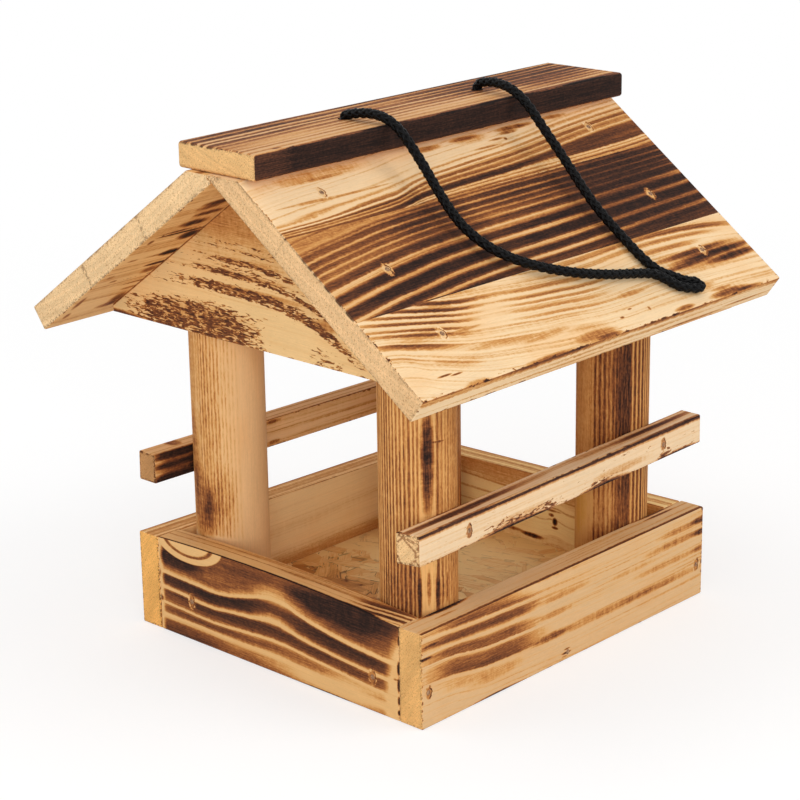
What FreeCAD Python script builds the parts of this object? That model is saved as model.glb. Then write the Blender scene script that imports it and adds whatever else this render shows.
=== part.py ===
import FreeCAD, Part
import math
import os

from FreeCAD import Vector

# Wooden bird feeder: an open seed tray, four round posts, two perch rails and a gabled
# roof of glued boards, with a ridge cap that a loop of rope passes through.
# Millimetres, +Z up. The ridge runs along X and the origin is the middle of the tray's
# underside. Left is -X and front is -Y.

# Seed tray
tray_length = 250.0
tray_width = 224.0
tray_board_thickness = 16.5
floor_thickness = 9.0

# Heights of the tray boards at their two ends. They were sawn by hand, so no two are the
# same, and the left end board's top edge is also crowned
side_front_height_left = 55.2
side_front_height_right = 55.9
side_back_height_left = 57.5
side_back_height_right = 51.8
end_left_height_front = 55.4
end_left_height_back = 57.9
end_left_crown = 3.0
end_right_height_front = 56.0
end_right_height_back = 51.8

# How far the front side board runs past the right end board
side_front_reach = 1.3

# Round posts, standing on the floor in the tray's corners: against the side boards and
# just clear of the end boards
post_diameter = 43.0
post_top_height = 185.5
post_end_gap = 2.0

# Perch rails, nailed across the outside of the posts by hand, so neither is quite level:
# the rise is how much higher a rail's right end lies than its left one
perch_length = 249.0
perch_width = 14.0
perch_height = 17.5
perch_middle_front = 102.9
perch_middle_back = 96.6
perch_rise_front = 4.7
perch_rise_back = -4.7
perch_front_nails = (-83.5, 88.0)
perch_back_nails = (-85.0, 85.0)

# The front rail's left end was sawn askew: shorter at the front, longer at the post
perch_front_skew = 1.8

# Gable boards, on the posts and under the roof
gable_setback = 8.0
gable_thickness = 20.0
gable_half_width = 134.0
gable_tip_height = 4.2

# Roof: three edge-glued boards to a slope, measured down the slope from the ridge line
roof_angle = 36.0
roof_board_thickness = 15.0
roof_overhang_left = 34.0
roof_overhang_right = 22.5
front_slope_length = 181.0
front_joint_upper = 67.0
front_joint_lower = 126.5
back_slope_length = 191.0
back_joint_upper = 76.0
back_joint_lower = 135.0
ridge_flat_half_width = 20.0
ridge_seam_shift = 3.5

# Ridge cap
cap_width = 58.2
cap_thickness = 14.2
cap_setback_left = 3.5
cap_overhang_right = 1.5

# Rope and the holes it passes through
rope_diameter = 5.4
rope_hole_diameter = 7.0
rope_hole_left = -58.0
rope_hole_right = 52.0
rope_hole_shift = 2.0
knot_radius = 7.0
knot_clearance = 0.1

# Nails and dowels
nail_head_diameter = 3.0
nail_head_height = 1.0
nail_shank_diameter = 1.8
nail_point_length = 2.5
tray_nail_length = 32.0
perch_nail_length = 35.0
roof_nail_length = 25.0
floor_nail_length = 30.0
corner_nail_inset = 5.0
corner_nail_height = 20.5
front_post_nail_height = 20.5
front_post_nail_shift = -2.0
back_post_nail_height = 24.5
back_post_nail_shift = -6.0
floor_nail_shift = -2.5
left_roof_nail_inset = 2.8
right_roof_nail_inset = 9.0
roof_nail_shares = (0.26, 0.57, 0.41)
dowel_diameter = 8.0
dowel_length = 40.0

# Eased edges of the sawn boards
edge_ease = 1.0
perch_edge_ease = 1.0
cap_edge_ease = 2.0

# The rope's route over the front slope: out of the left hole, over the cap's edge, down
# the slope, round the fold by the eave and back up into the right hole
rope_route = [
    (-58.0, 2.0, 305.3),
    (-58.0, 2.0, 311.4),
    (-57.5, -3.5, 315.5),
    (-56.0, -16.0, 315.5),
    (-54.0, -33.0, 313.0),
    (-52.5, -46.5, 289.5),
    (-54.0, -67.0, 267.5),
    (-52.0, -78.5, 254.0),
    (-46.0, -92.0, 243.0),
    (-32.0, -103.5, 234.5),
    (-8.5, -113.5, 227.5),
    (18.5, -121.0, 222.5),
    (41.0, -125.5, 220.0),
    (51.5, -132.0, 217.5),
    (54.0, -141.0, 213.0),
    (62.0, -147.0, 208.5),
    (75.0, -146.0, 205.5),
    (81.5, -137.5, 210.5),
    (71.5, -131.5, 214.5),
    (57.5, -127.5, 217.5),
    (55.0, -119.0, 223.5),
    (55.0, -102.0, 236.0),
    (52.5, -84.0, 252.5),
    (53.5, -63.0, 273.0),
    (54.0, -47.0, 291.0),
    (53.5, -33.0, 312.5),
    (53.5, -17.0, 315.5),
    (52.5, -3.5, 315.5),
    (52.0, 2.0, 311.4),
    (52.0, 2.0, 305.3),
]
arc_share_of_run = 0.45

# Places worked out from the sizes above
post_radius = post_diameter / 2
tray_end = tray_length / 2
tray_side = tray_width / 2
post_x = tray_end - tray_board_thickness - post_end_gap - post_radius
post_y = tray_side - tray_board_thickness - post_radius
slope_sine = math.sin(math.radians(roof_angle))
slope_cosine = math.cos(math.radians(roof_angle))
slope_tangent = slope_sine / slope_cosine
ridge_underside_height = post_top_height + gable_tip_height + gable_half_width * slope_tangent
ridge_line_height = ridge_underside_height + roof_board_thickness / slope_cosine
cap_underside_height = ridge_line_height - ridge_flat_half_width * slope_tangent
cap_top_height = cap_underside_height + cap_thickness
roof_left_end = -tray_end - roof_overhang_left
roof_right_end = tray_end + roof_overhang_right
gable_outer_face = tray_end - gable_setback
gable_inner_face = gable_outer_face - gable_thickness
gable_reach = gable_half_width / slope_cosine + roof_board_thickness * slope_tangent

front = -1
back = 1
left = -1
right = 1
up = Vector(0, 0, 1)
small = 0.01
perch_places = (
    (front, perch_middle_front, perch_rise_front),
    (back, perch_middle_back, perch_rise_back),
)


def save(name, shape):
    shape.exportStep(os.path.join("parts", name + ".step"))
    print(name, "volume", round(shape.Volume, 1), "solids", len(shape.Solids), "valid", shape.isValid())


def cut_away(shape, tools):
    for tool in tools:
        shape = shape.cut(tool)
    return shape


def sawn_board(low, high, ease):
    # A rectangular board between two corners, with every edge eased.
    size = Vector(*high) - Vector(*low)
    block = Part.makeBox(size.x, size.y, size.z, Vector(*low))
    return block.makeFillet(ease, block.Edges)


def tray_board(foot, length, thickness, start_height, end_height, crown):
    # A tray board that stands on its foot, runs along the length vector and has a top edge
    # of its own at each end, crowned in the middle. Every edge is eased.
    far = foot + length
    start_top = foot + up * start_height
    end_top = far + up * end_height
    if crown:
        summit = (start_top + end_top) / 2 + up * crown
        top = Part.Arc(end_top, summit, start_top).toShape()
    else:
        top = Part.LineSegment(end_top, start_top).toShape()
    sides = [Part.LineSegment(*ends).toShape() for ends in ((foot, far), (far, end_top))]
    closing = Part.LineSegment(start_top, foot).toShape()
    block = Part.Face(Part.Wire(sides + [top, closing])).extrude(thickness)
    return block.makeFillet(edge_ease, block.Edges)


def prism_along_x(outline, x_start, x_end):
    # A solid with the (y, z) outline, running along X.
    corners = [Vector(x_start, y, z) for y, z in outline]
    face = Part.Face(Part.makePolygon(corners + corners[:1]))
    return face.extrude(Vector(x_end - x_start, 0, 0))


def nail(head_centre, direction, length):
    # A nail driven flush, its head's top centre at the given point.
    neck = head_centre + direction * nail_head_height
    point = head_centre + direction * (length - nail_point_length)
    head = Part.makeCylinder(nail_head_diameter / 2, nail_head_height, head_centre, direction)
    shank_length = length - nail_head_height - nail_point_length
    shank = Part.makeCylinder(nail_shank_diameter / 2, shank_length, neck, direction)
    tip = Part.makeCone(nail_shank_diameter / 2, 0, nail_point_length, point, direction)
    return head.fuse([shank, tip]).removeSplitter()


def slope_point(side, distance, depth):
    # (y, z) of a point on a slope: down it from the ridge line, and below its upper face.
    y = distance * slope_cosine - depth * slope_sine
    z = ridge_line_height - distance * slope_sine - depth * slope_cosine
    return side * y, z


def slope_distance(side, point):
    # How far down a slope a point lies, and how deep below the slope's upper face.
    drop = ridge_line_height - point.z
    outward = side * point.y
    distance = outward * slope_cosine + drop * slope_sine
    depth = drop * slope_cosine - outward * slope_sine
    return distance, depth


# Nails and dowels: placed first, because the boards are bored by the same solids

def make_tray_nails():
    nails = []
    for end in (left, right):
        for side in (front, back):
            corner = Vector(end * (tray_end - corner_nail_inset), side * tray_side, corner_nail_height)
            nails.append(nail(corner, Vector(0, -side, 0), tray_nail_length))
        inward = Vector(-end, 0, 0)
        front_place = Vector(end * tray_end, -post_y + front_post_nail_shift, front_post_nail_height)
        back_place = Vector(end * tray_end, post_y + back_post_nail_shift, back_post_nail_height)
        nails.append(nail(front_place, inward, tray_nail_length))
        nails.append(nail(back_place, inward, tray_nail_length))
    return nails


def make_floor_nails():
    nails = []
    for side in (front, back):
        place = Vector(floor_nail_shift, side * tray_side, floor_thickness / 2)
        nails.append(nail(place, Vector(0, -side, 0), floor_nail_length))
    return nails


def make_perch_nails():
    nails = []
    face = post_y + post_radius + perch_width
    for (side, middle, rise), nail_places in zip(perch_places, (perch_front_nails, perch_back_nails)):
        for x in nail_places:
            height = middle + rise * x / perch_length
            place = Vector(x, side * face, height)
            nails.append(nail(place, Vector(0, -side, 0), perch_nail_length))
    return nails


def roof_nail_distances(side):
    # One nail in each board of a slope, by hand, at its share of the length that lies on
    # the gable and is clear of the cap.
    if side == front:
        joints = (front_joint_upper, front_joint_lower)
    else:
        joints = (back_joint_upper, back_joint_lower)
    cap_edge = cap_width / 2 / slope_cosine
    starts = (cap_edge,) + joints
    ends = joints + (gable_reach,)
    return [
        start + share * (end - start)
        for share, start, end in zip(roof_nail_shares, starts, ends)
    ]


def make_roof_nails():
    nails = []
    for side in (front, back):
        inward = Vector(0, -side * slope_sine, -slope_cosine)
        for distance in roof_nail_distances(side):
            y, z = slope_point(side, distance, 0)
            for x in (left_roof_nail_inset - gable_outer_face, gable_outer_face - right_roof_nail_inset):
                nails.append(nail(Vector(x, y, z), inward, roof_nail_length))
    return nails


def make_dowels():
    # Each dowel stands where its post and its gable board meet.
    overlap_middle = (gable_inner_face + post_x + post_radius) / 2
    foot = post_top_height - dowel_length / 2
    dowels = []
    for end in (left, right):
        for side in (front, back):
            base = Vector(end * overlap_middle, side * post_y, foot)
            dowels.append(Part.makeCylinder(dowel_diameter / 2, dowel_length, base, up))
    return dowels


tray_nails = make_tray_nails()
floor_nails = make_floor_nails()
perch_nails = make_perch_nails()
roof_nails = make_roof_nails()
dowels = make_dowels()


# Seed tray

def make_tray_side(side, left_height, right_height, reach):
    foot = Vector(-tray_end, side * tray_side, 0)
    length = Vector(tray_length + reach, 0, 0)
    thickness = Vector(0, -side * tray_board_thickness, 0)
    board = tray_board(foot, length, thickness, left_height, right_height, 0)
    return cut_away(board, tray_nails + floor_nails)


def make_tray_end(end, front_height, back_height, crown):
    half_length = tray_side - tray_board_thickness
    foot = Vector(end * tray_end, -half_length, 0)
    thickness = Vector(-end * tray_board_thickness, 0, 0)
    board = tray_board(foot, Vector(0, 2 * half_length, 0), thickness, front_height, back_height, crown)
    return cut_away(board, tray_nails)


def make_floor():
    half_length = tray_end - tray_board_thickness
    half_width = tray_side - tray_board_thickness
    low = Vector(-half_length, -half_width, 0)
    panel = Part.makeBox(2 * half_length, 2 * half_width, floor_thickness, low)
    return cut_away(panel, floor_nails)


# Posts and perch rails

def make_post(end, side):
    height = post_top_height - floor_thickness
    foot = Vector(end * post_x, side * post_y, floor_thickness)
    post = Part.makeCylinder(post_radius, height, foot, up)
    return cut_away(post, tray_nails + perch_nails + dowels)


def make_perch(side, middle, rise):
    near = side * (post_y + post_radius)
    outer = near + side * perch_width
    half = perch_length / 2
    skew = perch_front_skew if side == front else 0
    foot = middle - perch_height / 2
    corners = [(-half - skew, near), (half, near), (half, outer), (-half + skew, outer)]
    outline = [Vector(x, y, foot) for x, y in corners]
    rail = Part.Face(Part.makePolygon(outline + outline[:1])).extrude(up * perch_height)
    rail = rail.makeFillet(perch_edge_ease, rail.Edges)
    slant = -math.degrees(math.atan2(rise, perch_length))
    rail.rotate(Vector(0, 0, middle), Vector(0, 1, 0), slant)
    return cut_away(rail, perch_nails)


# Gables and roof

def make_gable(end):
    outline = [
        (-gable_half_width, post_top_height),
        (gable_half_width, post_top_height),
        (gable_half_width, post_top_height + gable_tip_height),
        (0, ridge_underside_height),
        (-gable_half_width, post_top_height + gable_tip_height),
    ]
    board = prism_along_x(outline, end * gable_inner_face, end * gable_outer_face)
    return cut_away(board, roof_nails + dowels)


def ridge_outline(side):
    # The slopes' top ends: planed flat under the cap and meeting at an upright seam that
    # lies a little behind the ridge line, so the front slope laps over the back one.
    seam_foot = (ridge_seam_shift, ridge_underside_height + ridge_seam_shift * slope_tangent)
    seam_top = (ridge_seam_shift, cap_underside_height)
    flat_edge = (side * ridge_flat_half_width, cap_underside_height)
    outline = [seam_foot, seam_top, flat_edge]
    if side == back:
        outline.insert(0, (0, ridge_underside_height))
    return outline


def ease_roof_board(board, side, eave_distance):
    # Eases the edges along both ends and round the eave, and leaves the glued joints sharp.
    eased = []
    for edge in board.Edges:
        middle = edge.CenterOfMass
        distance, depth = slope_distance(side, middle)
        at_end = min(abs(middle.x - roof_left_end), abs(middle.x - roof_right_end)) < small
        on_face = min(abs(depth), abs(depth - roof_board_thickness)) < small
        at_eave = eave_distance is not None and abs(distance - eave_distance) < small
        if (at_end and on_face) or at_eave:
            eased.append(edge)
    return board.makeFillet(edge_ease, eased)


def make_slope(side):
    if side == front:
        upper_joint, lower_joint, eave = front_joint_upper, front_joint_lower, front_slope_length
    else:
        upper_joint, lower_joint, eave = back_joint_upper, back_joint_lower, back_slope_length
    upper_outline = ridge_outline(side)
    upper_outline.append(slope_point(side, upper_joint, 0))
    upper_outline.append(slope_point(side, upper_joint, roof_board_thickness))
    outlines = [upper_outline]
    for start, end in ((upper_joint, lower_joint), (lower_joint, eave)):
        outlines.append([
            slope_point(side, start, roof_board_thickness),
            slope_point(side, start, 0),
            slope_point(side, end, 0),
            slope_point(side, end, roof_board_thickness),
        ])
    boards = []
    for outline, eave_distance in zip(outlines, (None, None, eave)):
        board = prism_along_x(outline, roof_left_end, roof_right_end)
        boards.append(ease_roof_board(board, side, eave_distance))
    boards[0] = cut_away(boards[0], rope_holes)
    return [cut_away(board, roof_nails) for board in boards]


def make_cap():
    low = (roof_left_end + cap_setback_left, -cap_width / 2, cap_underside_height)
    high = (roof_right_end + cap_overhang_right, cap_width / 2, cap_top_height)
    return cut_away(sawn_board(low, high, cap_edge_ease), rope_holes)


def make_rope_holes():
    bottom = ridge_underside_height - knot_radius
    height = cap_top_height + knot_radius - bottom
    holes = []
    for x in (rope_hole_left, rope_hole_right):
        base = Vector(x, rope_hole_shift, bottom)
        holes.append(Part.makeCylinder(rope_hole_diameter / 2, height, base, up))
    return holes


rope_holes = make_rope_holes()


# Hanging rope

def rope_arc(before, corner, after):
    # The largest tangent arc that a corner of the route takes: its ends, middle and radius.
    arriving = (corner - before).normalize()
    leaving = (after - corner).normalize()
    reach = arc_share_of_run * min(corner.distanceToPoint(before), corner.distanceToPoint(after))
    half_turn = arriving.getAngle(leaving) / 2
    radius = reach / math.tan(half_turn)
    towards_centre = (leaving - arriving).normalize()
    middle = corner + towards_centre * (math.hypot(radius, reach) - radius)
    return corner - arriving * reach, middle, corner + leaving * reach, radius


def make_rope():
    points = [Vector(*point) for point in rope_route]
    edges = []
    radii = []
    here = points[0]
    for before, corner, after in zip(points, points[1:], points[2:]):
        start, middle, end, radius = rope_arc(before, corner, after)
        edges.append(Part.LineSegment(here, start).toShape())
        edges.append(Part.Arc(start, middle, end).toShape())
        radii.append(radius)
        here = end
    edges.append(Part.LineSegment(here, points[-1]).toShape())
    path = Part.Wire(edges)
    circle = Part.makeCircle(rope_diameter / 2, points[0], points[1] - points[0])
    rope = path.makePipeShell([Part.Wire([circle])], True, False)
    expected = math.pi * rope_diameter ** 2 / 4 * path.Length
    print("rope length", round(path.Length, 1), "volume", round(rope.Volume, 1), "section x length", round(expected, 1))
    print("rope radii", [round(radius, 1) for radius in radii])
    return rope


def make_knot(x, exit_point):
    # A stopper knot that bears on both slopes' undersides, with the rope's stretch that
    # fills the hole up to the cap's top.
    seat = (knot_radius + knot_clearance) / slope_cosine
    centre = Vector(x, 0, ridge_underside_height - seat)
    ball = Part.makeSphere(knot_radius, centre)
    foot = Vector(x, rope_hole_shift, centre.z)
    neck = Part.makeCylinder(rope_diameter / 2, exit_point[2] - centre.z, foot, up)
    return ball.fuse(neck).removeSplitter()


os.makedirs("parts", exist_ok=True)

save("tray_side_front", make_tray_side(front, side_front_height_left, side_front_height_right, side_front_reach))
save("tray_side_back", make_tray_side(back, side_back_height_left, side_back_height_right, 0))
save("tray_end_left", make_tray_end(left, end_left_height_front, end_left_height_back, end_left_crown))
save("tray_end_right", make_tray_end(right, end_right_height_front, end_right_height_back, 0))
save("floor_panel", make_floor())
save("post_front_left", make_post(left, front))
save("post_front_right", make_post(right, front))
save("post_back_left", make_post(left, back))
save("post_back_right", make_post(right, back))
for name, perch_place in zip(("front", "back"), perch_places):
    save("perch_rail_" + name, make_perch(*perch_place))
save("gable_left", make_gable(left))
save("gable_right", make_gable(right))
for side, name in ((front, "front"), (back, "back")):
    for place, board in zip(("upper", "middle", "lower"), make_slope(side)):
        save("roof_" + name + "_" + place, board)
save("ridge_cap", make_cap())
save("hanging_rope", make_rope())
save("rope_knot_left", make_knot(rope_hole_left, rope_route[0]))
save("rope_knot_right", make_knot(rope_hole_right, rope_route[-1]))
save("tray_nails", Part.makeCompound(tray_nails))
save("floor_nails", Part.makeCompound(floor_nails))
save("perch_nails", Part.makeCompound(perch_nails))
save("roof_nails", Part.makeCompound(roof_nails))
save("post_dowels", Part.makeCompound(dowels))
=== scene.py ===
import bpy
import math
from mathutils import Euler, Matrix, Vector


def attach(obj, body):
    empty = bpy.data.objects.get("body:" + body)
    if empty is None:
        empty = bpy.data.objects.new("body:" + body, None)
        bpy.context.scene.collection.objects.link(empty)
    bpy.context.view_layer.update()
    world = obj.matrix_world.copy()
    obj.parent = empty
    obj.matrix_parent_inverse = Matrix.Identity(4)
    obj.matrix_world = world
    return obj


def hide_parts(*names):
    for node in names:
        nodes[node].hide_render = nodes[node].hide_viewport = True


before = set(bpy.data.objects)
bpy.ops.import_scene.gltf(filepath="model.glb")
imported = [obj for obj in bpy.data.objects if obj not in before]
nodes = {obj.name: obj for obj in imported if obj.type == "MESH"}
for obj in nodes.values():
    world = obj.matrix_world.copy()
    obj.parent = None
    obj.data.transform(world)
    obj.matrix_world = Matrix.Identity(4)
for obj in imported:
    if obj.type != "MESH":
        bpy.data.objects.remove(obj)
bpy.ops.object.select_all(action="DESELECT")
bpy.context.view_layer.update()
bpy.context.scene.view_settings.view_transform = "Standard"


def putInScene(name, data):
    thing = bpy.data.objects.new(name, data)
    bpy.context.scene.collection.objects.link(thing)
    return thing


# Camera
camera = {
    "place": (-0.95377, -0.87448, 0.55052),
    "heading": 46.91,
    "tilt": -17.972,
    "roll": -0.84,
    "lens": 104.985,
    "sensor": 36.0,
    "clip": (0.05, 60.0),
}


def addCamera():
    data = bpy.data.cameras.new("photoCamera")
    data.lens = camera["lens"]
    data.sensor_width = camera["sensor"]
    data.clip_start, data.clip_end = camera["clip"]
    turned = Euler((math.radians(90 + camera["tilt"]), 0, -math.radians(camera["heading"])), "XYZ")
    turned = turned.to_matrix() @ Matrix.Rotation(math.radians(camera["roll"]), 3, "Z")
    holder = putInScene("photoCamera", data)
    holder.matrix_world = Matrix.Translation(camera["place"]) @ turned.to_4x4()
    bpy.context.scene.camera = holder


addCamera()
print("camera in place")


# Node helpers
def tone(red, green, blue):
    # A screen colour in the renderer's own scale.
    return tuple(((part / 255 + 0.055) / 1.055) ** 2.4 for part in (red, green, blue)) + (1,)


class NodePad:
    # Adds nodes to a tree and joins them, so that a material reads like a sum.
    def __init__(self, tree):
        self.tree = tree

    def add(self, kind, **settings):
        node = self.tree.nodes.new(kind)
        for name, value in settings.items():
            setattr(node, name, value)
        return node

    def plug(self, node, slot, value):
        socket = node.inputs[slot]
        if isinstance(value, bpy.types.NodeSocket):
            self.tree.links.new(value, socket)
        else:
            socket.default_value = value

    def feed(self, node, values):
        # Plugs values in by their sockets' names, or in order, and gives the node's outputs.
        for slot, value in values.items() if isinstance(values, dict) else enumerate(values):
            self.plug(node, slot, value)
        return node.outputs

    def math(self, operation, *values, clamp=False):
        return self.feed(self.add("ShaderNodeMath", operation=operation, use_clamp=clamp), values)[0]

    def plus(self, *values):
        return self.math("ADD", *values)

    def minus(self, *values):
        return self.math("SUBTRACT", *values)

    def times(self, *values):
        return self.math("MULTIPLY", *values)

    def timesPlus(self, *values):
        return self.math("MULTIPLY_ADD", *values)

    def larger(self, *values):
        return self.math("MAXIMUM", *values)

    def smaller(self, *values):
        return self.math("MINIMUM", *values)

    def vec(self, operation, *values, result="Vector"):
        return self.feed(self.add("ShaderNodeVectorMath", operation=operation), values)[result]

    def length(self, vector):
        return self.vec("LENGTH", vector, result="Value")

    def dim(self, colour, share):
        return self.feed(self.add("ShaderNodeVectorMath", operation="SCALE"), {0: colour, "Scale": share})[0]

    def join(self, x, y, z=0.0):
        return self.feed(self.add("ShaderNodeCombineXYZ"), (x, y, z))[0]

    def split(self, vector):
        return self.feed(self.add("ShaderNodeSeparateXYZ"), (vector,))

    def millimetres(self):
        # The piece's own place
        place = self.add("ShaderNodeTexCoord").outputs["Object"]
        return self.vec("MULTIPLY", place, (1000, 1000, 1000))

    def noise(self, vector, scale=(1, 1, 1), detail=2.0, roughness=0.5, distortion=0.0):
        return self.feed(self.add("ShaderNodeTexNoise"), {
            "Vector": self.vec("MULTIPLY", vector, scale), "Scale": 1.0, "Detail": detail,
            "Roughness": roughness, "Distortion": distortion})[0]

    def smooth(self, value, low, high, first=0.0, last=1.0):
        node = self.add("ShaderNodeMapRange", interpolation_type="SMOOTHSTEP")
        return self.feed(node, (value, low, high, first, last))[0]

    def lerp(self, first, second, share):
        return self.feed(self.add("ShaderNodeMix", data_type="FLOAT"), {0: share, 2: first, 3: second})[0]

    def blend(self, first, second, share, mode="MIX"):
        node = self.add("ShaderNodeMix", data_type="RGBA", blend_type=mode)
        return self.feed(node, {0: share, 6: first, 7: second})[2]

    def ramp(self, value, stops):
        # Stops give a grey or a colour at places from 0 to 1.
        node = self.add("ShaderNodeValToRGB")
        points = node.color_ramp.elements
        while len(points) < len(stops):
            points.new(1.0)
        for point, (place, shade) in zip(points, stops.items()):
            point.position = place
            point.color = (shade, shade, shade, 1) if isinstance(shade, (int, float)) else shade
        return self.feed(node, (value,))[0]

    def curve(self, value, points):
        # A drawn line, given as its height at some places, both in millimetres.
        low, high = min(points), max(points)
        reach = max(abs(height) for height in points.values()) + 0.5
        share = self.math("DIVIDE", self.minus(value, low), high - low, clamp=True)
        node = self.add("ShaderNodeFloatCurve")
        line = node.mapping.curves[0]
        while len(line.points) < len(points):
            line.points.new(0.5, 0.5)
        for point, (place, height) in zip(line.points, points.items()):
            point.location = ((place - low) / (high - low), 0.5 + height / (2 * reach))
        node.mapping.update()
        return self.timesPlus(self.feed(node, {"Value": share})[0], 2 * reach, -reach)

    def use(self, tree, **values):
        return self.feed(self.add("ShaderNodeGroup", node_tree=tree), values)

    def relief(self, shader, height, strength, depth):
        bump = self.feed(self.add("ShaderNodeBump"), {"Strength": strength, "Distance": depth, "Height": height})
        self.plug(shader, "Normal", bump[0])


def newGroup(name, inputs, outputs):
    tree = bpy.data.node_groups.new(name, "ShaderNodeTree")
    kinds = {"value": "NodeSocketFloat", "vector": "NodeSocketVector", "colour": "NodeSocketColor"}
    for way, sockets in (("INPUT", inputs), ("OUTPUT", outputs)):
        for label, kind in sockets.items():
            tree.interface.new_socket(name=label, in_out=way, socket_type=kinds[kind])
    pad = NodePad(tree)
    return tree, pad, pad.add("NodeGroupInput").outputs, pad.add("NodeGroupOutput")


def newMaterial(name):
    material = bpy.data.materials.new(name)
    material.use_nodes = True
    return material, NodePad(material.node_tree), material.node_tree.nodes["Principled BSDF"]


# Wood effects. Places are in millimetres, x along the grain, y across it, z out of the face.
def buildWoodNoise():
    tree, pad, given, result = newGroup(
        "woodNoise", {"Place": "vector"},
        {"Wander": "value", "Fibre": "value", "Fuzz": "value", "Cloud": "value", "Grit": "value"})
    place = given["Place"]
    wander = pad.noise(place, (0.014, 0.035, 0.035), detail=1.5)
    pad.feed(result, {
        "Wander": pad.timesPlus(wander, 2.0, -1.0),
        "Fibre": pad.noise(place, (0.05, 2.0, 2.0), detail=3.0, roughness=0.6),
        "Fuzz": pad.noise(place, (0.36, 0.09, 0.2), detail=3.0, roughness=0.62),
        "Cloud": pad.noise(place, (0.018, 0.05, 0.05)),
        "Grit": pad.noise(place, (0.5, 1.1, 1.1)),
    })
    return tree


def buildHeatSpot():
    # A soft oval of scorching, as one pass of the torch leaves.
    tree, pad, given, result = newGroup(
        "heatSpot", {"Place": "vector", "Spot": "vector", "Reach": "vector", "Amount": "value"}, {"Heat": "value"})
    away = pad.vec("DIVIDE", pad.vec("SUBTRACT", given["Place"], given["Spot"]), given["Reach"])
    heat = pad.times(pad.smooth(pad.length(away), 0.25, 1.0, 1.0, 0.0), given["Amount"])
    pad.feed(result, {"Heat": heat})
    return tree


# From bare wood to char
burnTones = {
    0.0: tone(232, 186, 128), 0.16: tone(217, 163, 99), 0.3: tone(199, 137, 76), 0.44: tone(165, 104, 57),
    0.58: tone(131, 77, 45), 0.72: tone(100, 60, 40), 0.86: tone(66, 43, 34), 1.0: tone(36, 28, 26),
}


def buildBurnTone():
    # Turns how burnt the wood is into its colour, roughness and relief.
    tree, pad, given, result = newGroup(
        "burnTone",
        {"Burn": "value", "Pale": "colour", "Fibre": "value", "Fuzz": "value", "Cloud": "value", "Grit": "value",
         "Strength": "value"},
        {"Colour": "colour", "Roughness": "value", "Height": "value"})
    fibre, fuzz, cloud, grit = [pad.minus(given[name], 0.5) for name in ("Fibre", "Fuzz", "Cloud", "Grit")]
    shade = 1.0
    for part, share in ((fibre, 0.3), (cloud, 0.2), (grit, 0.14)):
        shade = pad.timesPlus(part, share, shade)
    clouded = pad.smooth(given["Cloud"], 0.48, 0.8, 0.0, 0.4)
    pale = pad.dim(pad.blend(given["Pale"], tone(234, 206, 172), clouded, mode="MULTIPLY"), shade)
    # The half-burnt wood is the most uneven.
    burn = given["Burn"]
    half = pad.times(burn, pad.minus(1.2, burn))
    uneven = pad.timesPlus(fuzz, 1.2, pad.timesPlus(fibre, 1.8, grit))
    burn = pad.timesPlus(half, uneven, burn)
    colour = pad.blend(pale, pad.ramp(burn, burnTones), pad.smooth(burn, 0.0, 0.22))
    vivid = pad.feed(pad.add("ShaderNodeHueSaturation"), {"Color": colour, "Saturation": given["Strength"]})
    height = pad.timesPlus(burn, -0.5, pad.times(fibre, 0.5))
    pad.feed(result, {
        "Colour": vivid[0],
        "Roughness": pad.timesPlus(burn, 0.1, 0.56),
        "Height": pad.timesPlus(grit, 0.25, height),
    })
    return tree


def buildEdgeBurn():
    # Broken dark lines and small nicks along a board's edges.
    tree, pad, given, result = newGroup(
        "edgeBurn", {"Place": "vector", "Low": "vector", "High": "vector", "Reach": "value"},
        {"Mask": "value", "Distance": "value"})
    place = given["Place"]
    near = pad.vec("MINIMUM", pad.vec("SUBTRACT", place, given["Low"]), pad.vec("SUBTRACT", given["High"], place))
    first, second, third = pad.split(near)
    low, high = pad.smaller(first, second), pad.larger(first, second)
    # The middle one of three distances is the distance from the nearest edge.
    middle = pad.larger(low, pad.smaller(high, third))
    ragged = pad.noise(place, (0.13, 0.3, 0.3), detail=3.0, roughness=0.65)
    reach = pad.times(pad.smooth(ragged, 0.46, 0.72), given["Reach"])
    mask = pad.smooth(pad.minus(middle, reach), -0.7, 0.5, 1.0, 0.0)
    pad.feed(result, {"Mask": pad.times(mask, pad.smooth(reach, 0.0, 0.4)), "Distance": middle})
    return tree


def buildEndGrain():
    # Sawn end grain: faint year rings, slanting saw marks and fine dark specks.
    tree, pad, given, result = newGroup(
        "endGrain", {"Place": "vector", "Pale": "colour"}, {"Colour": "colour", "Height": "value"})
    place = given["Place"]
    x, y, z = pad.split(place)
    fromPith = pad.length(pad.join(0.0, pad.times(y, 0.35), pad.minus(z, 40.0)))
    rings = pad.noise(pad.join(fromPith, 0.0, pad.times(x, 0.02)), (0.42, 1, 1))
    speckle = pad.noise(place, (0.3, 1.7, 1.7), detail=3.0, roughness=0.7)
    soft = pad.noise(place, (0.02, 0.06, 0.06), detail=1.0)
    saw = pad.noise(pad.join(0.0, pad.plus(y, z), pad.minus(z, y)), (1, 0.09, 1.3))
    flecks = pad.smooth(pad.noise(place, (0.2, 0.95, 1.25), roughness=0.7), 0.54, 0.68)
    shade = 1.0
    for part, share in ((rings, 0.6), (speckle, 0.7), (saw, 0.45), (soft, 0.3)):
        shade = pad.timesPlus(pad.minus(part, 0.5), share, shade)
    colour = pad.dim(given["Pale"], shade)
    colour = pad.blend(colour, tone(190, 132, 72), pad.smooth(speckle, 0.5, 0.66, 0.0, 0.6))
    colour = pad.blend(colour, tone(158, 100, 50), pad.times(flecks, 0.62))
    pad.feed(result, {"Colour": colour, "Height": pad.timesPlus(flecks, -0.5, speckle)})
    return tree


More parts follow.
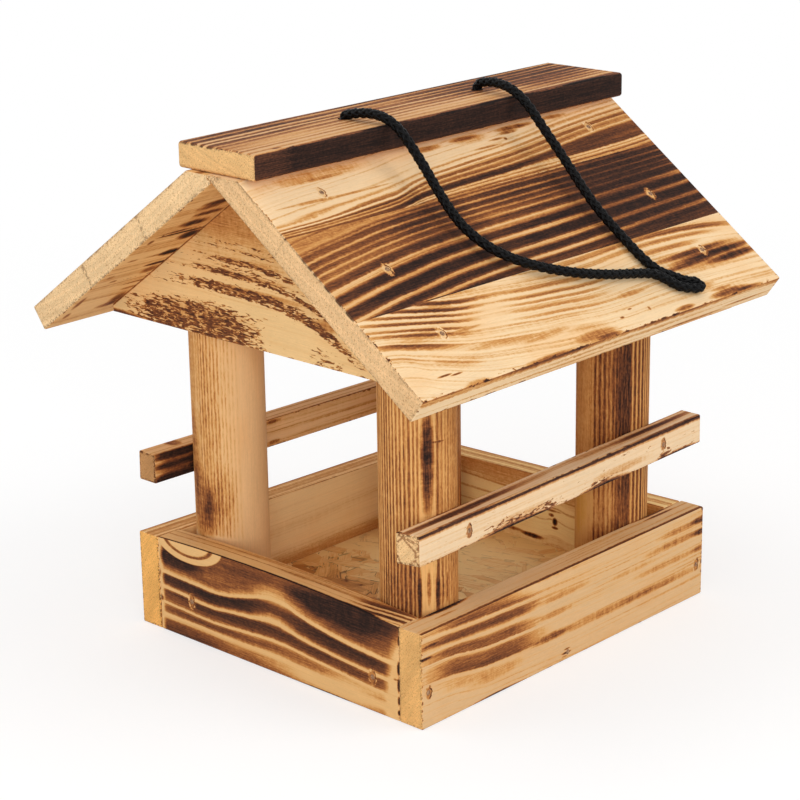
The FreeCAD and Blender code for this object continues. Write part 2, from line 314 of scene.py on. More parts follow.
def buildNailScuff():
    # The dent a driven nail leaves: a brown bruise, a broken dark ring that is partly the crushed rim and partly
    # painted shade on the dent's wall, and pale torn fibres.
    tree, pad, given, result = newGroup(
        "nailScuff", {"Place": "vector", "Spot": "vector"}, {"Bruise": "value", "RimShade": "value", "Torn": "value"})
    away = pad.vec("SUBTRACT", given["Place"], given["Spot"])
    rough = pad.noise(given["Place"], (0.38, 0.38, 0.38), detail=3.0, roughness=0.6)
    away = pad.vec("MULTIPLY", away, (0.85, 0.56, 0.3))
    length = pad.length(away)
    length = pad.timesPlus(pad.minus(rough, 0.5), 2.4, length)
    bruise = pad.smooth(length, 1.7, 2.6, 1.0, 0.0)
    # Painted shade: the broken ring darkens the dent's rim on one side only, where shade in the dent would fall.
    rimShade = pad.times(pad.smooth(length, 1.3, 1.7), pad.smooth(length, 1.9, 2.4, 1.0, 0.0))
    rimShade = pad.times(rimShade, pad.smooth(pad.split(away)[0], -1.0, 1.4))
    torn = pad.times(pad.smooth(length, 1.8, 2.3), pad.smooth(length, 2.6, 3.4, 1.0, 0.0))
    torn = pad.times(torn, pad.smooth(rough, 0.45, 0.6))
    pad.feed(result, {"Bruise": bruise, "RimShade": rimShade, "Torn": torn})
    return tree


def buildFleckRows():
    # Fine broken dark flecks, where the torch caught the cut fibres.
    tree, pad, given, result = newGroup("fleckRows", {"Place": "vector", "Row": "value"}, {"Burn": "value"})
    fleck = pad.noise(given["Place"], (0.17, 0.72, 0.72), roughness=0.6, distortion=0.9)
    level = pad.timesPlus(given["Row"], 0.75, pad.timesPlus(fleck, 2.4, -1.14))
    pad.feed(result, {"Burn": pad.ramp(level, {0.5: 0.0, 0.58: 0.24, 0.68: 0.46, 0.78: 0.62, 0.95: 0.72})})
    return tree


woodNoise, heatSpot, burnTone = buildWoodNoise(), buildHeatSpot(), buildBurnTone()
edgeBurn, endGrain, nailScuff, fleckRows = buildEdgeBurn(), buildEndGrain(), buildNailScuff(), buildFleckRows()
print("wood effects built")


# Torched boards. A drawing of a face gives its grain as how burnt it is at places across the
# grain, bent along drawn lines, and the ovals that the torch heated, as (x, y, reach in x,
# reach in y, amount).
wood = {
    "rowStops": {0.36: 0.1, 0.44: 0.02, 0.48: 0.45, 0.54: 0.9, 0.6: 0.75, 0.64: 0.2, 0.72: 0.6},
    "sideTurn": (0.62, 0.78),       # how far a face is turned before it takes an edge's drawing
    "underTurn": (-0.6, -0.4),
    "stopsToRamp": 30,              # a colour ramp holds 32
    "sawn": (228, 186, 130),
    "char": tone(70, 44, 32),
    "crack": tone(124, 66, 26),
    "dot": tone(92, 50, 28),
    "specular": 0.04,
    "relief": 0.35,
    "reliefDepth": 0.0006,
}


def bandBurn(pad, v, bands):
    bands, total = list(bands.items()), None
    for start in range(0, len(bands) - 1, wood["stopsToRamp"]):
        part = bands[start:start + wood["stopsToRamp"] + 1]
        low, high = part[0][0], part[-1][0]
        share = pad.math("DIVIDE", pad.minus(v, low), high - low, clamp=True)
        burn = pad.ramp(share, {(place - low) / (high - low): amount for place, amount in part})
        total = burn if total is None else pad.lerp(total, burn, pad.math("GREATER_THAN", v, low))
    return total


def addSpots(pad, place, spots, base):
    total = base
    for x, y, reachX, reachY, amount in spots:
        heat = pad.use(heatSpot, Place=place, Spot=(x, y, 0), Reach=(reachX, reachY, 1), Amount=amount)
        total = pad.plus(total, heat[0])
    return total


def bendLines(pad, bends, x, y, lead=None):
    # Bends are lines at heights on the face, and they blend into each other. With a
    # leading line, the heights are counted from it.
    if lead:
        y = pad.minus(y, pad.curve(x, lead))
    total = below = None
    for level, line in bends.items():
        bend = pad.curve(x, line)
        total = bend if total is None else pad.lerp(total, bend, pad.smooth(y, below, level))
        below = level
    return total


def drawFace(pad, drawing, x, y, noise, seed):
    flat = pad.join(x, y)
    v = y
    if "bends" in drawing:
        v = pad.minus(v, bendLines(pad, drawing["bends"], x, y, drawing.get("lead")))
    v = pad.timesPlus(noise["Wander"], drawing.get("wander", 0.8), v)
    v = pad.timesPlus(pad.minus(noise["Fuzz"], 0.5), drawing.get("ragged", 0.9), v)
    if "bands" in drawing:
        burn = bandBurn(pad, v, drawing["bands"])
    else:
        rows = pad.noise(pad.join(pad.plus(x, seed * 61.0), v, seed * 7.3),
                         (0.0035, drawing.get("rows", 0.14), 1.0), detail=2.5)
        burn = pad.ramp(rows, wood["rowStops"])
    # Heat darkens the bands, and where it is strong it also eats into the pale lines.
    heat = pad.larger(addSpots(pad, flat, drawing.get("heat", []), drawing.get("base", 1.0)), 0.001)
    eaten = pad.smaller(pad.math("POWER", heat, -2.2), 1.0)
    burn = pad.times(pad.math("POWER", burn, eaten), pad.smaller(heat, drawing.get("most", 1.0)))
    if "dashes" in drawing:
        dash = pad.noise(flat, (0.15, 1.0, 1.0))
        burn = pad.times(burn, pad.smooth(dash, 0.4, 0.6, 1.0 - drawing["dashes"], 1.0))
    worn = pad.times(pad.smooth(noise["Fuzz"], 0.36, 0.68), drawing.get("fuzz", 0.15))
    burn = pad.times(burn, pad.minus(1.0, worn))
    # Faint growth lines in the unburnt wood
    growth = pad.noise(pad.join(pad.plus(x, seed * 37.0), v, seed * 3.1), (0.005, 0.62, 1.0))
    growth = pad.times(pad.smooth(growth, 0.47, 0.68), drawing.get("growth", 0.2))
    burn = pad.plus(burn, pad.times(growth, pad.minus(1.0, burn)))
    if "patches" in drawing:
        patch = addSpots(pad, flat, drawing["patches"], 0.0)
        mottle = pad.plus(noise["Fibre"], noise["Fuzz"])
        spread = drawing.get("mottle", 0.5)
        burn = pad.larger(burn, pad.times(patch, pad.timesPlus(mottle, spread, 1.0 - spread)))
    if "eye" in drawing:
        # A knot's rings
        eye = drawing["eye"]
        away = pad.vec("DIVIDE", pad.vec("SUBTRACT", flat, (*eye["place"], 0)), (*eye["reach"], 1))
        away = pad.length(away)
        away = pad.timesPlus(noise["Wander"], 0.03, away)
        rings = pad.ramp(pad.times(away, 0.8), eye["rings"])
        burn = pad.lerp(burn, rings, pad.smooth(away, 1.0, 1.06, 1.0, 0.0))
    return burn


def seatNodes(pad, seat):
    # The board's own place in millimetres and its own normal, from where it is set.
    origin, along, across = Vector(seat[0]), Vector(seat[1]), Vector(seat[2])
    turn = Matrix((along, across, along.cross(across))).transposed().to_euler()
    coordinate = pad.add("ShaderNodeTexCoord")
    found = []
    for output, scale, middle in (("Object", 0.001, origin * 0.001), ("Normal", 1.0, Vector((0, 0, 0)))):
        mapping = pad.add("ShaderNodeMapping", vector_type="TEXTURE")
        pad.feed(mapping, {
            "Location": middle, "Rotation": turn, "Scale": (scale, scale, scale),
            "Vector": coordinate.outputs[output]})
        found.append(mapping.outputs[0])
    return found


def sawnEnd(pad, board, grain, place, noisePlace, faceBurn, fromFace, edges):
    # The face's burn wraps a little way over the end.
    wrapped = pad.smooth(fromFace, 0.6, 2.6, 1.0, 0.0)
    wrapped = pad.smooth(pad.times(faceBurn, wrapped), 0.3, 0.7, 0.0, 0.9)
    ended = pad.blend(grain["Colour"], wood["char"], wrapped)
    if "rim" in board:
        # Burnt dots round the end, and drying cracks
        dots = pad.noise(noisePlace, (0.5, 0.8, 0.8), roughness=0.6)
        if "cracks" in board:
            spot = pad.vec("ADD", pad.vec("MULTIPLY", place, (0, 0.1, 0.1)), board["cracks"])
            cell = pad.feed(pad.add("ShaderNodeTexVoronoi", feature="DISTANCE_TO_EDGE"), {"Vector": spot, "Scale": 1.0})
            crack = pad.times(pad.smooth(cell["Distance"], 0.02, 0.09, 0.7, 0.0), pad.smooth(dots, 0.4, 0.5))
            ended = pad.blend(ended, wood["crack"], crack)
        rim = pad.times(pad.smooth(edges["Distance"], 0.3, 2.2, board["rim"], 0.0), pad.smooth(dots, 0.47, 0.56))
        ended = pad.blend(ended, wood["dot"], rim)
    return ended


def torchedMaterial(name, board):
    material, pad, shader = newMaterial(name)
    noisePlace, normal = seatNodes(pad, board["seat"])
    place = noisePlace
    seed = board["seed"]
    x, y, z = pad.split(place)
    if "round" in board:
        # A post's face is unrolled.
        arc = pad.times(pad.math("ARCTAN2", z, y), board["round"])
        z = pad.minus(pad.length(pad.join(y, z)), board["round"])
        y = arc
        place = pad.join(x, y, z)
    noise = pad.use(woodNoise, Place=pad.vec("ADD", noisePlace, (seed * 371.0, seed * 83.0, seed * 57.0)))
    facing = pad.split(pad.vec("ABSOLUTE", normal))
    faceBurn = drawFace(pad, board["face"], x, y, noise, seed)
    burn = faceBurn
    if "flecks" in board:
        row = drawFace(pad, board["flecks"], x, y, noise, seed + 1)
        burn = pad.larger(burn, pad.use(fleckRows, Place=place, Row=row)["Burn"])
    if "back" in board:
        back = drawFace(pad, board["back"], x, y, noise, seed + 3)
        burn = pad.lerp(burn, back, pad.smooth(pad.split(normal)[2], *wood["underTurn"], 1.0, 0.0))
    if "rake" in board:
        # The dark seam where a slope's underside meets the gable's sloping edges
        halfWidth, foot = board["rake"]
        fromTop = pad.timesPlus(pad.minus(halfWidth, pad.math("ABSOLUTE", x)), slopeSine,
                                pad.times(pad.minus(y, foot), -slopeCosine))
        burn = pad.larger(burn, pad.smooth(fromTop, 0.3, 1.1, 0.6, 0.0))
    if "edge" in board:
        edge = drawFace(pad, board["edge"], x, z, noise, seed + 5)
        burn = pad.lerp(burn, edge, pad.smooth(facing[1], *wood["sideTurn"]))
    edges = None
    if "nicks" in board:
        edges = pad.use(edgeBurn, Place=place, Low=board["low"], High=board["high"], Reach=board["nicks"])
        burn = pad.larger(burn, pad.times(edges["Mask"], board.get("nickBurn", 0.7)))
    torn = 0.0
    bruised, rimShaded = board.get("scuff", (0.45, 0.7))
    for nailX, nailY in board.get("nails", []):
        scuff = pad.use(nailScuff, Place=place, Spot=(nailX, nailY, board["high"][2]))
        burn = pad.lerp(burn, bruised, pad.times(scuff["Bruise"], 0.85))
        # The dent's dark rim, partly crushed wood and partly painted shade
        burn = pad.larger(burn, pad.times(scuff["RimShade"], rimShaded))
        torn = pad.larger(torn, scuff["Torn"])
    burn = pad.times(burn, pad.timesPlus(torn, -0.85, 1.0))
    toned = pad.use(burnTone, Burn=burn, Pale=tone(*board["pale"]), Strength=board.get("vivid", 1.0),
                    **{part: noise[part] for part in ("Fibre", "Fuzz", "Cloud", "Grit")})
    grain = pad.use(endGrain, Place=pad.vec("ADD", noisePlace, (0, seed * 19.0, 0)),
                    Pale=tone(*board.get("sawn", wood["sawn"])))
    atEnd = pad.smooth(facing[0], *wood["sideTurn"])
    colour, height = toned["Colour"], toned["Height"]
    if "round" not in board:
        fromFace = pad.minus(board["high"][2], z)
        ended = sawnEnd(pad, board, grain, place, noisePlace, faceBurn, fromFace, edges)
        colour = pad.blend(colour, ended, atEnd)
        height = pad.lerp(height, grain["Height"], atEnd)
    pad.feed(shader, {"Base Color": colour, "Roughness": toned["Roughness"], "Specular IOR Level": wood["specular"]})
    pad.relief(shader, height, wood["relief"], wood["reliefDepth"])
    return material


def dress(node, material):
    node.data.materials.clear()
    node.data.materials.append(material)


def torch(name, board, label=None):
    # Gives a piece its own torched wood.
    dress(nodes[name], torchedMaterial("torched" + (label or name).title().replace("_", ""), board))


roofAngle = math.radians(36)
slopeSine, slopeCosine = math.sin(roofAngle), math.cos(roofAngle)
ridgeHeight = 305.6
seats = {
    "frontSlope": ((0, 0, ridgeHeight), (1, 0, 0), (0, slopeCosine, slopeSine)),
    "backSlope": ((0, 0, ridgeHeight), (-1, 0, 0), (0, -slopeCosine, slopeSine)),
    "leftFace": ((-125, 0, 0), (0, -1, 0), (0, 0, 1)),
    "frontFace": ((0, -112, 0), (1, 0, 0), (0, 0, 1)),
}
plainRows = {"rows": 0.2, "base": 0.5}

# Front slope, measured up from the ridge line, so down it is minus
frontBoard = {
    "seat": seats["frontSlope"], "sawn": (234, 194, 144), "edge": plainRows,
    "back": {"rows": 0.12, "base": 0.55, "wander": 3},
}
upperLine = {
    -159: -7.5, -110: -7.5, -80: -6.5, -65: -4.5, -50: -2, -30: -1, 0: 0, 20: 0.5, 50: 2.5, 70: 4.5, 100: 7.5,
    148: 10.5}
roofFrontUpper = {
    "seed": 1, "low": (-159, -67, -15), "high": (147.5, -14, 0), "pale": (242, 208, 164), "nicks": 1.0, "rim": 0.5,
    "nails": [(-114.2, -44), (108, -44)], "scuff": (0.12, 0.62),
    "face": {
        "lead": upperLine,
        "bends": {
            -66: {-159: 0, 0: 0, 100: 1, 148: 3},
            -60: upperLine,
            -52: {-159: -14.5, -130: -13.5, -110: -12, -90: -10, -70: -8.5, -60: -6.5, -50: -4, -40: -2.5, -20: -1,
                0: 0, 20: 1, 50: 3.5, 100: 9, 148: 12},
            -47: {-159: -13.6, -130: -11, -100: -9.5, -80: -8, -60: -5.8, -48: -4, -30: -2.2, -20: -1.5, 0: 0, 20: 1,
                50: 3.5, 100: 9, 148: 12}},
        "bands": {
            -76: 0.8, -70: 0.75, -68.4: 0.7, -67.6: 0.25, -66.9: 0.2, -66.2: 0.75, -65.5: 0.6, -64.9: 0.1, -64: 0.2,
            -63.3: 0.5, -62.7: 0.14, -61.9: 0.2, -61.2: 0.85, -59.6: 0.95, -58: 0.8, -57.3: 0.35, -56.7: 0.12,
            -56: 0.5, -54.8: 0.6, -53.9: 0.3, -53.3: 0.14, -52.6: 0.7, -51.2: 0.78, -50.5: 0.3, -49.9: 0.06, -49: 0.1,
            -48.4: 0.6, -47.5: 0.5, -46.8: 0.05, -45: 0.12, -44.2: 0.3, -43: 0.06, -36: 0.03, -20: 0.03},
        "wander": 0.6, "ragged": 0.8, "growth": 0.13, "base": 0.75,
        "heat": [
            (-70, -62, 60, 6, 0.3), (0, -59, 60, 8, 0.3), (90, -56, 90, 12, 0.12), (-150, -52, 24, 10, -0.35),
            (30, -45, 40, 5, -0.2)],
        "patches": [
            (-108, -32, 60, 6, 0.2), (-110, -35, 30, 1.6, 0.2), (-24, -32.5, 18, 3, 0.4), (8, -31.5, 16, 2.2, 0.4),
            (14, -33, 20, 5, 0.2), (52, -31.6, 22, 2.4, 0.55), (44, -34.2, 12, 1.8, 0.45), (32, -37.2, 10, 1.2, 0.4),
            (20, -41, 18, 1.2, 0.35), (88, -31, 16, 2.2, 0.36), (38.5, -38.3, 2, 1.5, 0.6), (-100, -49, 50, 1.2, 0.3),
            (-130, -48, 30, 1, 0.25)],
    },
}
torch("roof_front_upper", {**frontBoard, **roofFrontUpper})

roofFrontMiddle = {
    "seed": 2, "low": (-159, -200, -15), "high": (147.5, 0, 0), "pale": (230, 186, 134), "nicks": 1.3, "rim": 0.5,
    "nails": [(-114.2, -101), (108, -101)], "scuff": (0.05, 0.85),
    "face": {
        "bends": {
            -118: {-159: -13.5, -150: -12, -120: -7.6, -100: -5.6, -80: -3.3, -50: -1.4, -20: -0.3, 0: 0, 30: 0.8,
                70: 2.2, 100: 3.4, 148: 5.2},
            -74: {-159: -10.5, -150: -9, -120: -5.4, -100: -3.2, -80: -1.9, -50: -0.7, -20: -0.2, 0: 0, 30: 0.3,
                70: 0.6, 100: 1, 148: 1.7}},
        "bands": {
            -131: 0.75, -126: 0.78, -124.5: 0.9, -122.5: 0.85, -121.6: 0.4, -120.8: 0.12, -119.6: 0.1, -119: 0.55,
            -117.6: 0.9, -115: 0.92, -114: 0.5, -113.2: 0.13, -111.6: 0.1, -110.9: 0.6, -109.6: 0.95, -106: 1.0,
            -104.8: 0.85, -104: 0.35, -103.2: 0.1, -101.9: 0.1, -101.2: 0.55, -100: 0.95, -96.8: 0.97, -95.7: 0.55,
            -94.8: 0.16, -92.8: 0.08, -92: 0.5, -90.8: 0.8, -88.4: 0.85, -87.4: 0.6, -86.8: 0.25, -86.2: 0.2,
            -85.6: 0.55, -83.4: 0.68, -82.6: 0.3, -82.1: 0.22, -81.4: 0.72, -79.4: 0.78, -78.8: 0.24, -78.2: 0.2,
            -77.5: 0.8, -75.2: 0.85, -74.4: 0.3, -73.8: 0.24, -73: 0.78, -70.4: 0.85, -69.7: 0.4, -69.2: 0.4,
            -68.4: 0.75, -67.4: 0.5, -66.8: 0.3, -64: 0.5, -52: 0.1},
        "wander": 0.5, "ragged": 0.9, "fuzz": 0.14, "growth": 0.26, "base": 0.86,
        "heat": [
            (60, -92, 90, 16, 0.15), (-85, -112, 70, 30, 0.35), (-58, -82, 44, 26, 0.4), (100, -104, 90, 34, 0.95),
            (105, -78, 80, 18, 1.1), (28, -76, 60, 16, 0.3), (20, -110, 60, 24, 0.15), (-140, -82, 44, 18, -0.1)],
        "patches": [(-70, -126.1, 110, 0.6, 0.9), (70, -125.8, 90, 0.6, 0.8)],
    },
}
torch("roof_front_middle", {**frontBoard, **roofFrontMiddle})

roofFrontLower = {
    "seed": 3, "low": (-159, -181, -15), "high": (147.5, -60, 0), "pale": (242, 210, 166), "nicks": 2.2, "rim": 0.5,
    "nickBurn": 0.8, "nails": [(-114.2, -147), (108, -147)], "scuff": (0.1, 0.7),
    "face": {
        "bends": {
            -160: {-159: 32, -150: 29.5, -140: 24.5, -130: 21, -120: 17.5, -110: 14.5, -100: 12, -80: 9, -60: 6.5,
                -50: 5, -30: 3, 0: 0, 60: 0, 148: -4},
            -132: {-159: 24.5, -150: 22.5, -130: 18, -110: 13, -90: 8.5, -60: 5.5, -40: 3, -20: 1.5, 0: 0, 60: 1,
                90: 0.5, 120: -2, 148: -7}},
        "bands": {
            -196: 0.0, -185: 0.1, -183: 0.55, -181.5: 0.1, -176: 0.05, -173.6: 0.5, -172: 0.72, -170.8: 0.7,
            -169.8: 0.1, -164.6: 0.08, -163.4: 0.55, -162.4: 0.5, -161.6: 0.06, -160.4: 0.05, -159.4: 0.6,
            -158.4: 0.5, -157.6: 0.1, -155.4: 0.06, -154.4: 0.75, -153.2: 0.66, -152.4: 0.1, -150.6: 0.06,
            -149.8: 0.75, -148.8: 0.6, -148: 0.1, -146.6: 0.06, -145.8: 0.75, -144.4: 0.66, -143.2: 0.12, -141.6: 0.1,
            -140.6: 0.8, -139: 0.7, -138: 0.12, -135.6: 0.05, -134.4: 0.5, -133.2: 0.35, -132: 0.06, -131.2: 0.1,
            -130: 0.6, -127.8: 0.55, -126.8: 0.12, -125: 0.1, -100: 0.1},
        "wander": 0.9, "ragged": 0.9, "growth": 0.14, "mottle": 0.2, "base": 0.06,
        "heat": [
            (-122, -136, 56, 22, 0.85), (-130, -150, 50, 13, 0.5), (-84, -164, 60, 7, 0.3), (-122, -166, 34, 8, 0.4),
            (-22, -145, 56, 24, 0.45), (24, -130, 44, 10, 0.5), (100, -131, 80, 10, 0.9), (80, -140, 40, 5, 0.4),
            (-88, -131, 44, 9, 0.4), (-24, -175, 26, 9, 0.3)],
        "patches": [
            (96, -146.4, 50, 2.8, 0.52), (116, -151, 50, 3.2, 0.62), (130, -156.5, 34, 3.4, 0.62),
            (84, -153.6, 34, 2.2, 0.42), (110, -152, 60, 12, 0.3), (100, -178.5, 24, 3.6, 0.6),
            (96, -174.6, 14, 1.6, 0.34), (84, -170, 16, 5, 0.22), (118, -180, 16, 2.2, 0.5), (57, -179, 12, 2.4, 0.5),
            (-60, -181, 34, 3.2, 0.45), (-118, -181, 14, 4, 0.3), (-20, -177, 24, 5, 0.4), (-10, -180, 14, 2.4, 0.45),
            (28, -159.5, 20, 2.6, 0.3), (-134, -170.6, 7, 0.9, 0.7), (-126, -171.8, 6, 0.8, 0.6),
            (-52, -167, 30, 4, 0.24), (8, -172, 2.4, 1, 0.6), (32, -172, 1.4, 2, 0.5), (18, -168.5, 2.5, 0.8, 0.5),
            (-100, -149, 20, 1.6, 0.3)],
    },
    "edge": {
        "bands": {-15: 0.2, -13: 0.04, -4: 0.02, -3.2: 0.3, -2.2: 0.5, 0: 0.85}, "ragged": 3, "base": 0.45,
        "heat": [(-60, 0, 60, 30, 0.5), (40, 0, 60, 30, 0.3), (120, 0, 20, 30, -0.2)],
        "patches": [(70, -12, 44, 1.4, 0.45), (120, -10, 30, 1.2, 0.4), (-40, -11, 50, 1.0, 0.25)],
    },
}
torch("roof_front_lower", {**frontBoard, **roofFrontLower})

# Back slope: its underside shows past the left gable
backBoard = {
    "seat": seats["backSlope"], "pale": (236, 190, 128), "sawn": (244, 208, 158), "nicks": 1.6, "rim": 0.6,
    "edge": plainRows,
}
roofBack = {
    "upper": {
        "low": (-147.5, -76, -15), "high": (159, 0, 0), "seed": 4,
        "face": {"rows": 0.13, "base": 0.5, "heat": [(60, -50, 90, 20, 0.5), (-90, -60, 50, 20, 0.4)], "wander": 3},
        "back": {
            "rows": 0.09, "base": 0.2, "wander": 3, "growth": 0.16, "fuzz": 0.0,
            "patches": [
                (131, -42, 16, 5, 0.66), (136, -47, 16, 3, 0.4), (129, -55, 14, 4, 0.62), (132, -66, 15, 5.5, 0.66),
                (140, -74, 20, 2, 0.5), (128, -60, 26, 40, 0.2)],
        },
    },
    "middle": {
        "low": (-147.5, -135, -15), "high": (159, -76, 0), "seed": 5,
        "face": {"rows": 0.1, "base": 0.6, "heat": [(40, -110, 110, 30, 0.5)], "wander": 2},
        "back": {
            "rows": 0.09, "base": 0.18, "wander": 3, "growth": 0.16, "fuzz": 0.0,
            "patches": [
                (133, -77.4, 26, 2, 0.9), (123, -84, 12, 8, 0.95), (122, -106, 10, 6, 0.85), (120, -106, 30, 3, 0.4),
                (122, -120, 13, 3, 0.95), (122, -128, 10, 7, 0.5), (152, -82, 3, 4, 0.6), (149, -106, 6, 2, 0.4),
                (152, -126, 4, 4, 0.4), (145, -134, 4, 3, 0.4)],
        },
    },
    "lower": {
        "low": (-147.5, -191, -15), "high": (159, -135, 0), "seed": 6,
        "face": {
            "rows": 0.12, "base": 0.35, "heat": [(80, -150, 70, 20, 0.6), (-60, -176, 60, 14, 0.5)], "wander": 3,
        },
        "back": {
            "rows": 0.08, "base": 0.16, "wander": 3, "growth": 0.16, "fuzz": 0.0,
            "patches": [
                (122, -144, 16, 2, 0.5), (121, -152, 10, 3, 0.4), (120, -166, 9, 12, 0.6), (124, -174, 12, 5, 0.45),
                (154, -158, 3, 12, 0.5), (152, -176, 3, 6, 0.5)],
        },
    },
}
for name, board in roofBack.items():
    torch("roof_back_" + name, {**backBoard, **board})

# Ridge cap: sawn and brown on top, charred on the front edge
ridgeCap = {
    "seat": ((0, 0, 305.27), (1, 0, 0), (0, 1, 0)), "seed": 7, "low": (-155.5, -29.1, -14.2), "high": (149, 29.1, 0),
    "pale": (218, 172, 124), "sawn": (240, 194, 132), "nicks": 2.6, "rim": 0.5, "nickBurn": 0.8, "vivid": 0.96,
    "face": {
        "bends": {0: {-156: -2.2, -100: -1, -40: 0, 40: 0.6, 100: 1.6, 149: 3}},
        "bands": {
            -30: 0.8, -27: 0.7, -25.5: 0.2, -23.6: 0.08, -22: 0.4, -20.6: 0.34, -19.6: 0.06, -18: 0.08, -16.8: 0.45,
            -15.4: 0.4, -14.4: 0.05, -12.6: 0.1, -11.4: 0.55, -9.8: 0.5, -8.8: 0.05, -7.4: 0.08, -6.4: 0.62,
            -4.6: 0.6, -3.6: 0.05, -2: 0.08, -0.8: 0.62, 1.6: 0.66, 2.6: 0.06, 4: 0.05, 5.2: 0.7, 8.8: 0.75,
            9.8: 0.06, 11.2: 0.05, 12.2: 0.75, 14: 0.72, 15: 0.05, 16.6: 0.06, 17.8: 0.8, 20.8: 0.82, 22: 0.12,
            23.6: 0.2, 24.8: 0.8, 27: 0.74, 28: 0.2, 29.2: 0.6},
        "wander": 2.0, "ragged": 1.8, "fuzz": 0.35, "growth": 0.35, "base": 0.9,
        "heat": [
            (96, 6, 100, 30, 0.9), (-20, 12, 30, 6, -0.3), (-70, 4, 26, 5, -0.35), (60, -12, 30, 6, -0.3),
            (-115, 22, 50, 12, 0.3), (20, 27, 90, 7, 0.4), (-110, -12, 54, 14, -0.45), (10, -16, 50, 7, -0.45),
            (110, -12, 50, 16, 0.35)],
        "patches": [
            (-58, -29.5, 42, 4, 1.2), (40, -29.5, 60, 5, 1.3), (115, -29.5, 44, 6, 1.3), (20, 29.5, 80, 5, 0.9),
            (-10, -29.5, 22, 3, 0.9), (-130, -29.5, 20, 2.5, 0.6), (-136, -25, 6, 2.5, 0.6), (118, -8, 3, 8, 0.5)],
    },
    "edge": {
        "bands": {-14.2: 0.3, -13.3: 0.85, -12: 0.95, -8: 1.0, -4: 0.97, -1: 0.95, 0: 0.9}, "fuzz": 0.1,
        "ragged": 1.5, "base": 1.25, "heat": [(-150, -7, 46, 30, -0.35)], "growth": 0.0,
    },
    "back": {"rows": 0.2, "base": 0.4},
}
torch("ridge_cap", ridgeCap)

# Tray boards
trayEndLeft = {
    "seat": seats["leftFace"], "seed": 8, "low": (-95.5, 0, -16.5), "high": (95.5, 70, 0), "pale": (230, 184, 124),
    "nicks": 0.6, "nails": [(-68, 24.5), (76, 20.5)], "scuff": (0.42, 0.75),
    "face": {
        "bends": {
            9.6: {-96: 0.6, -60: 0.4, -30: 0, 0: 0.2, 20: -0.8, 50: -2, 96: -4},
            17.3: {-96: 0.9, -80: 0.4, -60: -0.5, -50: -0.7, -40: -0.3, -20: 0.9, 0: 1.7, 10: 1.5, 30: -0.1, 50: -1.5,
                70: -3.1, 96: -4.8},
            27: {-96: 1.2, -80: 0.8, -60: -0.7, -50: -0.9, -40: 0.1, -20: 1.8, -10: 2.7, 0: 3, 10: 2.3, 20: 0.7,
                40: -1.5, 60: -3.3, 96: -5.4},
            38: {-96: 0.4, -80: -0.2, -60: -0.9, -50: -1.5, -40: -0.7, -30: 1.3, -20: 3.6, -10: 6, 0: 7.1, 10: 6.3,
                20: 3.8, 30: 1.6, 40: 0, 60: -2.2, 96: -4.6}},
        "bands": {
            0: 0.85, 4: 0.75, 7: 0.6, 8.4: 0.04, 10.6: 0.04, 11.6: 0.5, 13: 0.72, 15: 0.75, 16.3: 0.5, 16.9: 0.03,
            18: 0.04, 18.7: 0.6, 20: 0.85, 22: 0.92, 24.4: 0.88, 25.4: 0.6, 26: 0.04, 27.2: 0.05, 28.4: 0.5,
            29.7: 0.85, 31.5: 0.95, 34.8: 1.0, 35.9: 0.75, 36.5: 0.05, 38: 0.05, 39.4: 0.4, 41: 0.7, 43.4: 0.88,
            47: 1.0, 60: 1.0, 70: 1.0},
        "wander": 0.5, "ragged": 0.9, "fuzz": 0.14, "most": 0.98, "growth": 0.1, "base": 0.64,
        "heat": [
            (-82, 47, 30, 7, 0.45), (24, 49, 26, 10, 0.3), (58, 44, 30, 16, 0.2), (-78, 45, 30, 8, 0.1),
            (-64, 32, 60, 14, 0.3), (-14, 36, 60, 13, 0.22), (60, 53, 60, 12, 0.35), (55, 31, 62, 13, 0.26),
            (-20, 24, 80, 8, 0.25), (50, 20, 50, 7, 0.15), (-74, 6, 46, 18, 0.3), (-30, 14, 60, 5, 0.2),
            (-24, 54, 26, 4, 0.1), (6, 46, 32, 9, -0.4), (-44, 43, 26, 5, -0.15), (46, 5, 70, 8, -0.55),
            (66, 12, 40, 4, -0.4), (-97, 25, 7, 70, -1.2), (99, 12, 17, 50, -1.3)],
        "eye": {
            "place": (-70, 62), "reach": (28, 13.7),
            "rings": {0.0: 0.1, 0.5: 0.03, 0.55: 0.55, 0.6: 0.6, 0.64: 0.03, 0.83: 0.03, 1.0: 0.1},
        },
        "patches": [
            (95.6, 47, 1.6, 5, 0.9), (95.4, 31, 1.8, 6, 1.0), (95.2, 21, 1.6, 6, 0.9), (95.4, 12, 1.6, 4, 0.8),
            (95.4, 5, 1.6, 2.4, 0.9), (93, 24, 2.4, 1, 0.5), (-96, 36, 3, 4, 0.6), (-96, 27, 2, 3, 0.5),
            (-96, 20, 5, 3, 0.7), (38, 0, 46, 1.6, 0.9), (-112, 0.5, 18, 1, 0.4)],
    },
    "edge": {
        "bends": {-8: {-96: 4, 40: 3.4, 60: 2.6, 70: 1.4, 80: -0.6, 96: -3.2}},
        "bands": {
            -16.5: 0.3, -13.6: 0.7, -11: 0.75, -10.2: 0.05, -8.6: 0.1, -8: 0.7, -7.1: 0.6, -6.4: 0.05, -4.6: 0.1,
            -4: 0.85, -1.8: 0.85, -1: 0.1, 0: 0.05, 5: 0.05},
        "base": 0.06, "growth": 0.3, "heat": [(80, -8, 30, 20, 1.0), (30, -11, 60, 4, 0.3), (-60, -12, 60, 4, 0.3)],
        "patches": [
            (-60, 0, 90, 1.6, 1.2), (20, 0, 80, 2.0, 1.2), (66, 0, 20, 3.2, 1.1), (10, -8, 22, 1.6, 0.3),
            (-40, -12, 40, 1, 0.25)],
    },
    "back": {"rows": 0.1, "base": 0.15},
}
torch("tray_end_left", trayEndLeft)

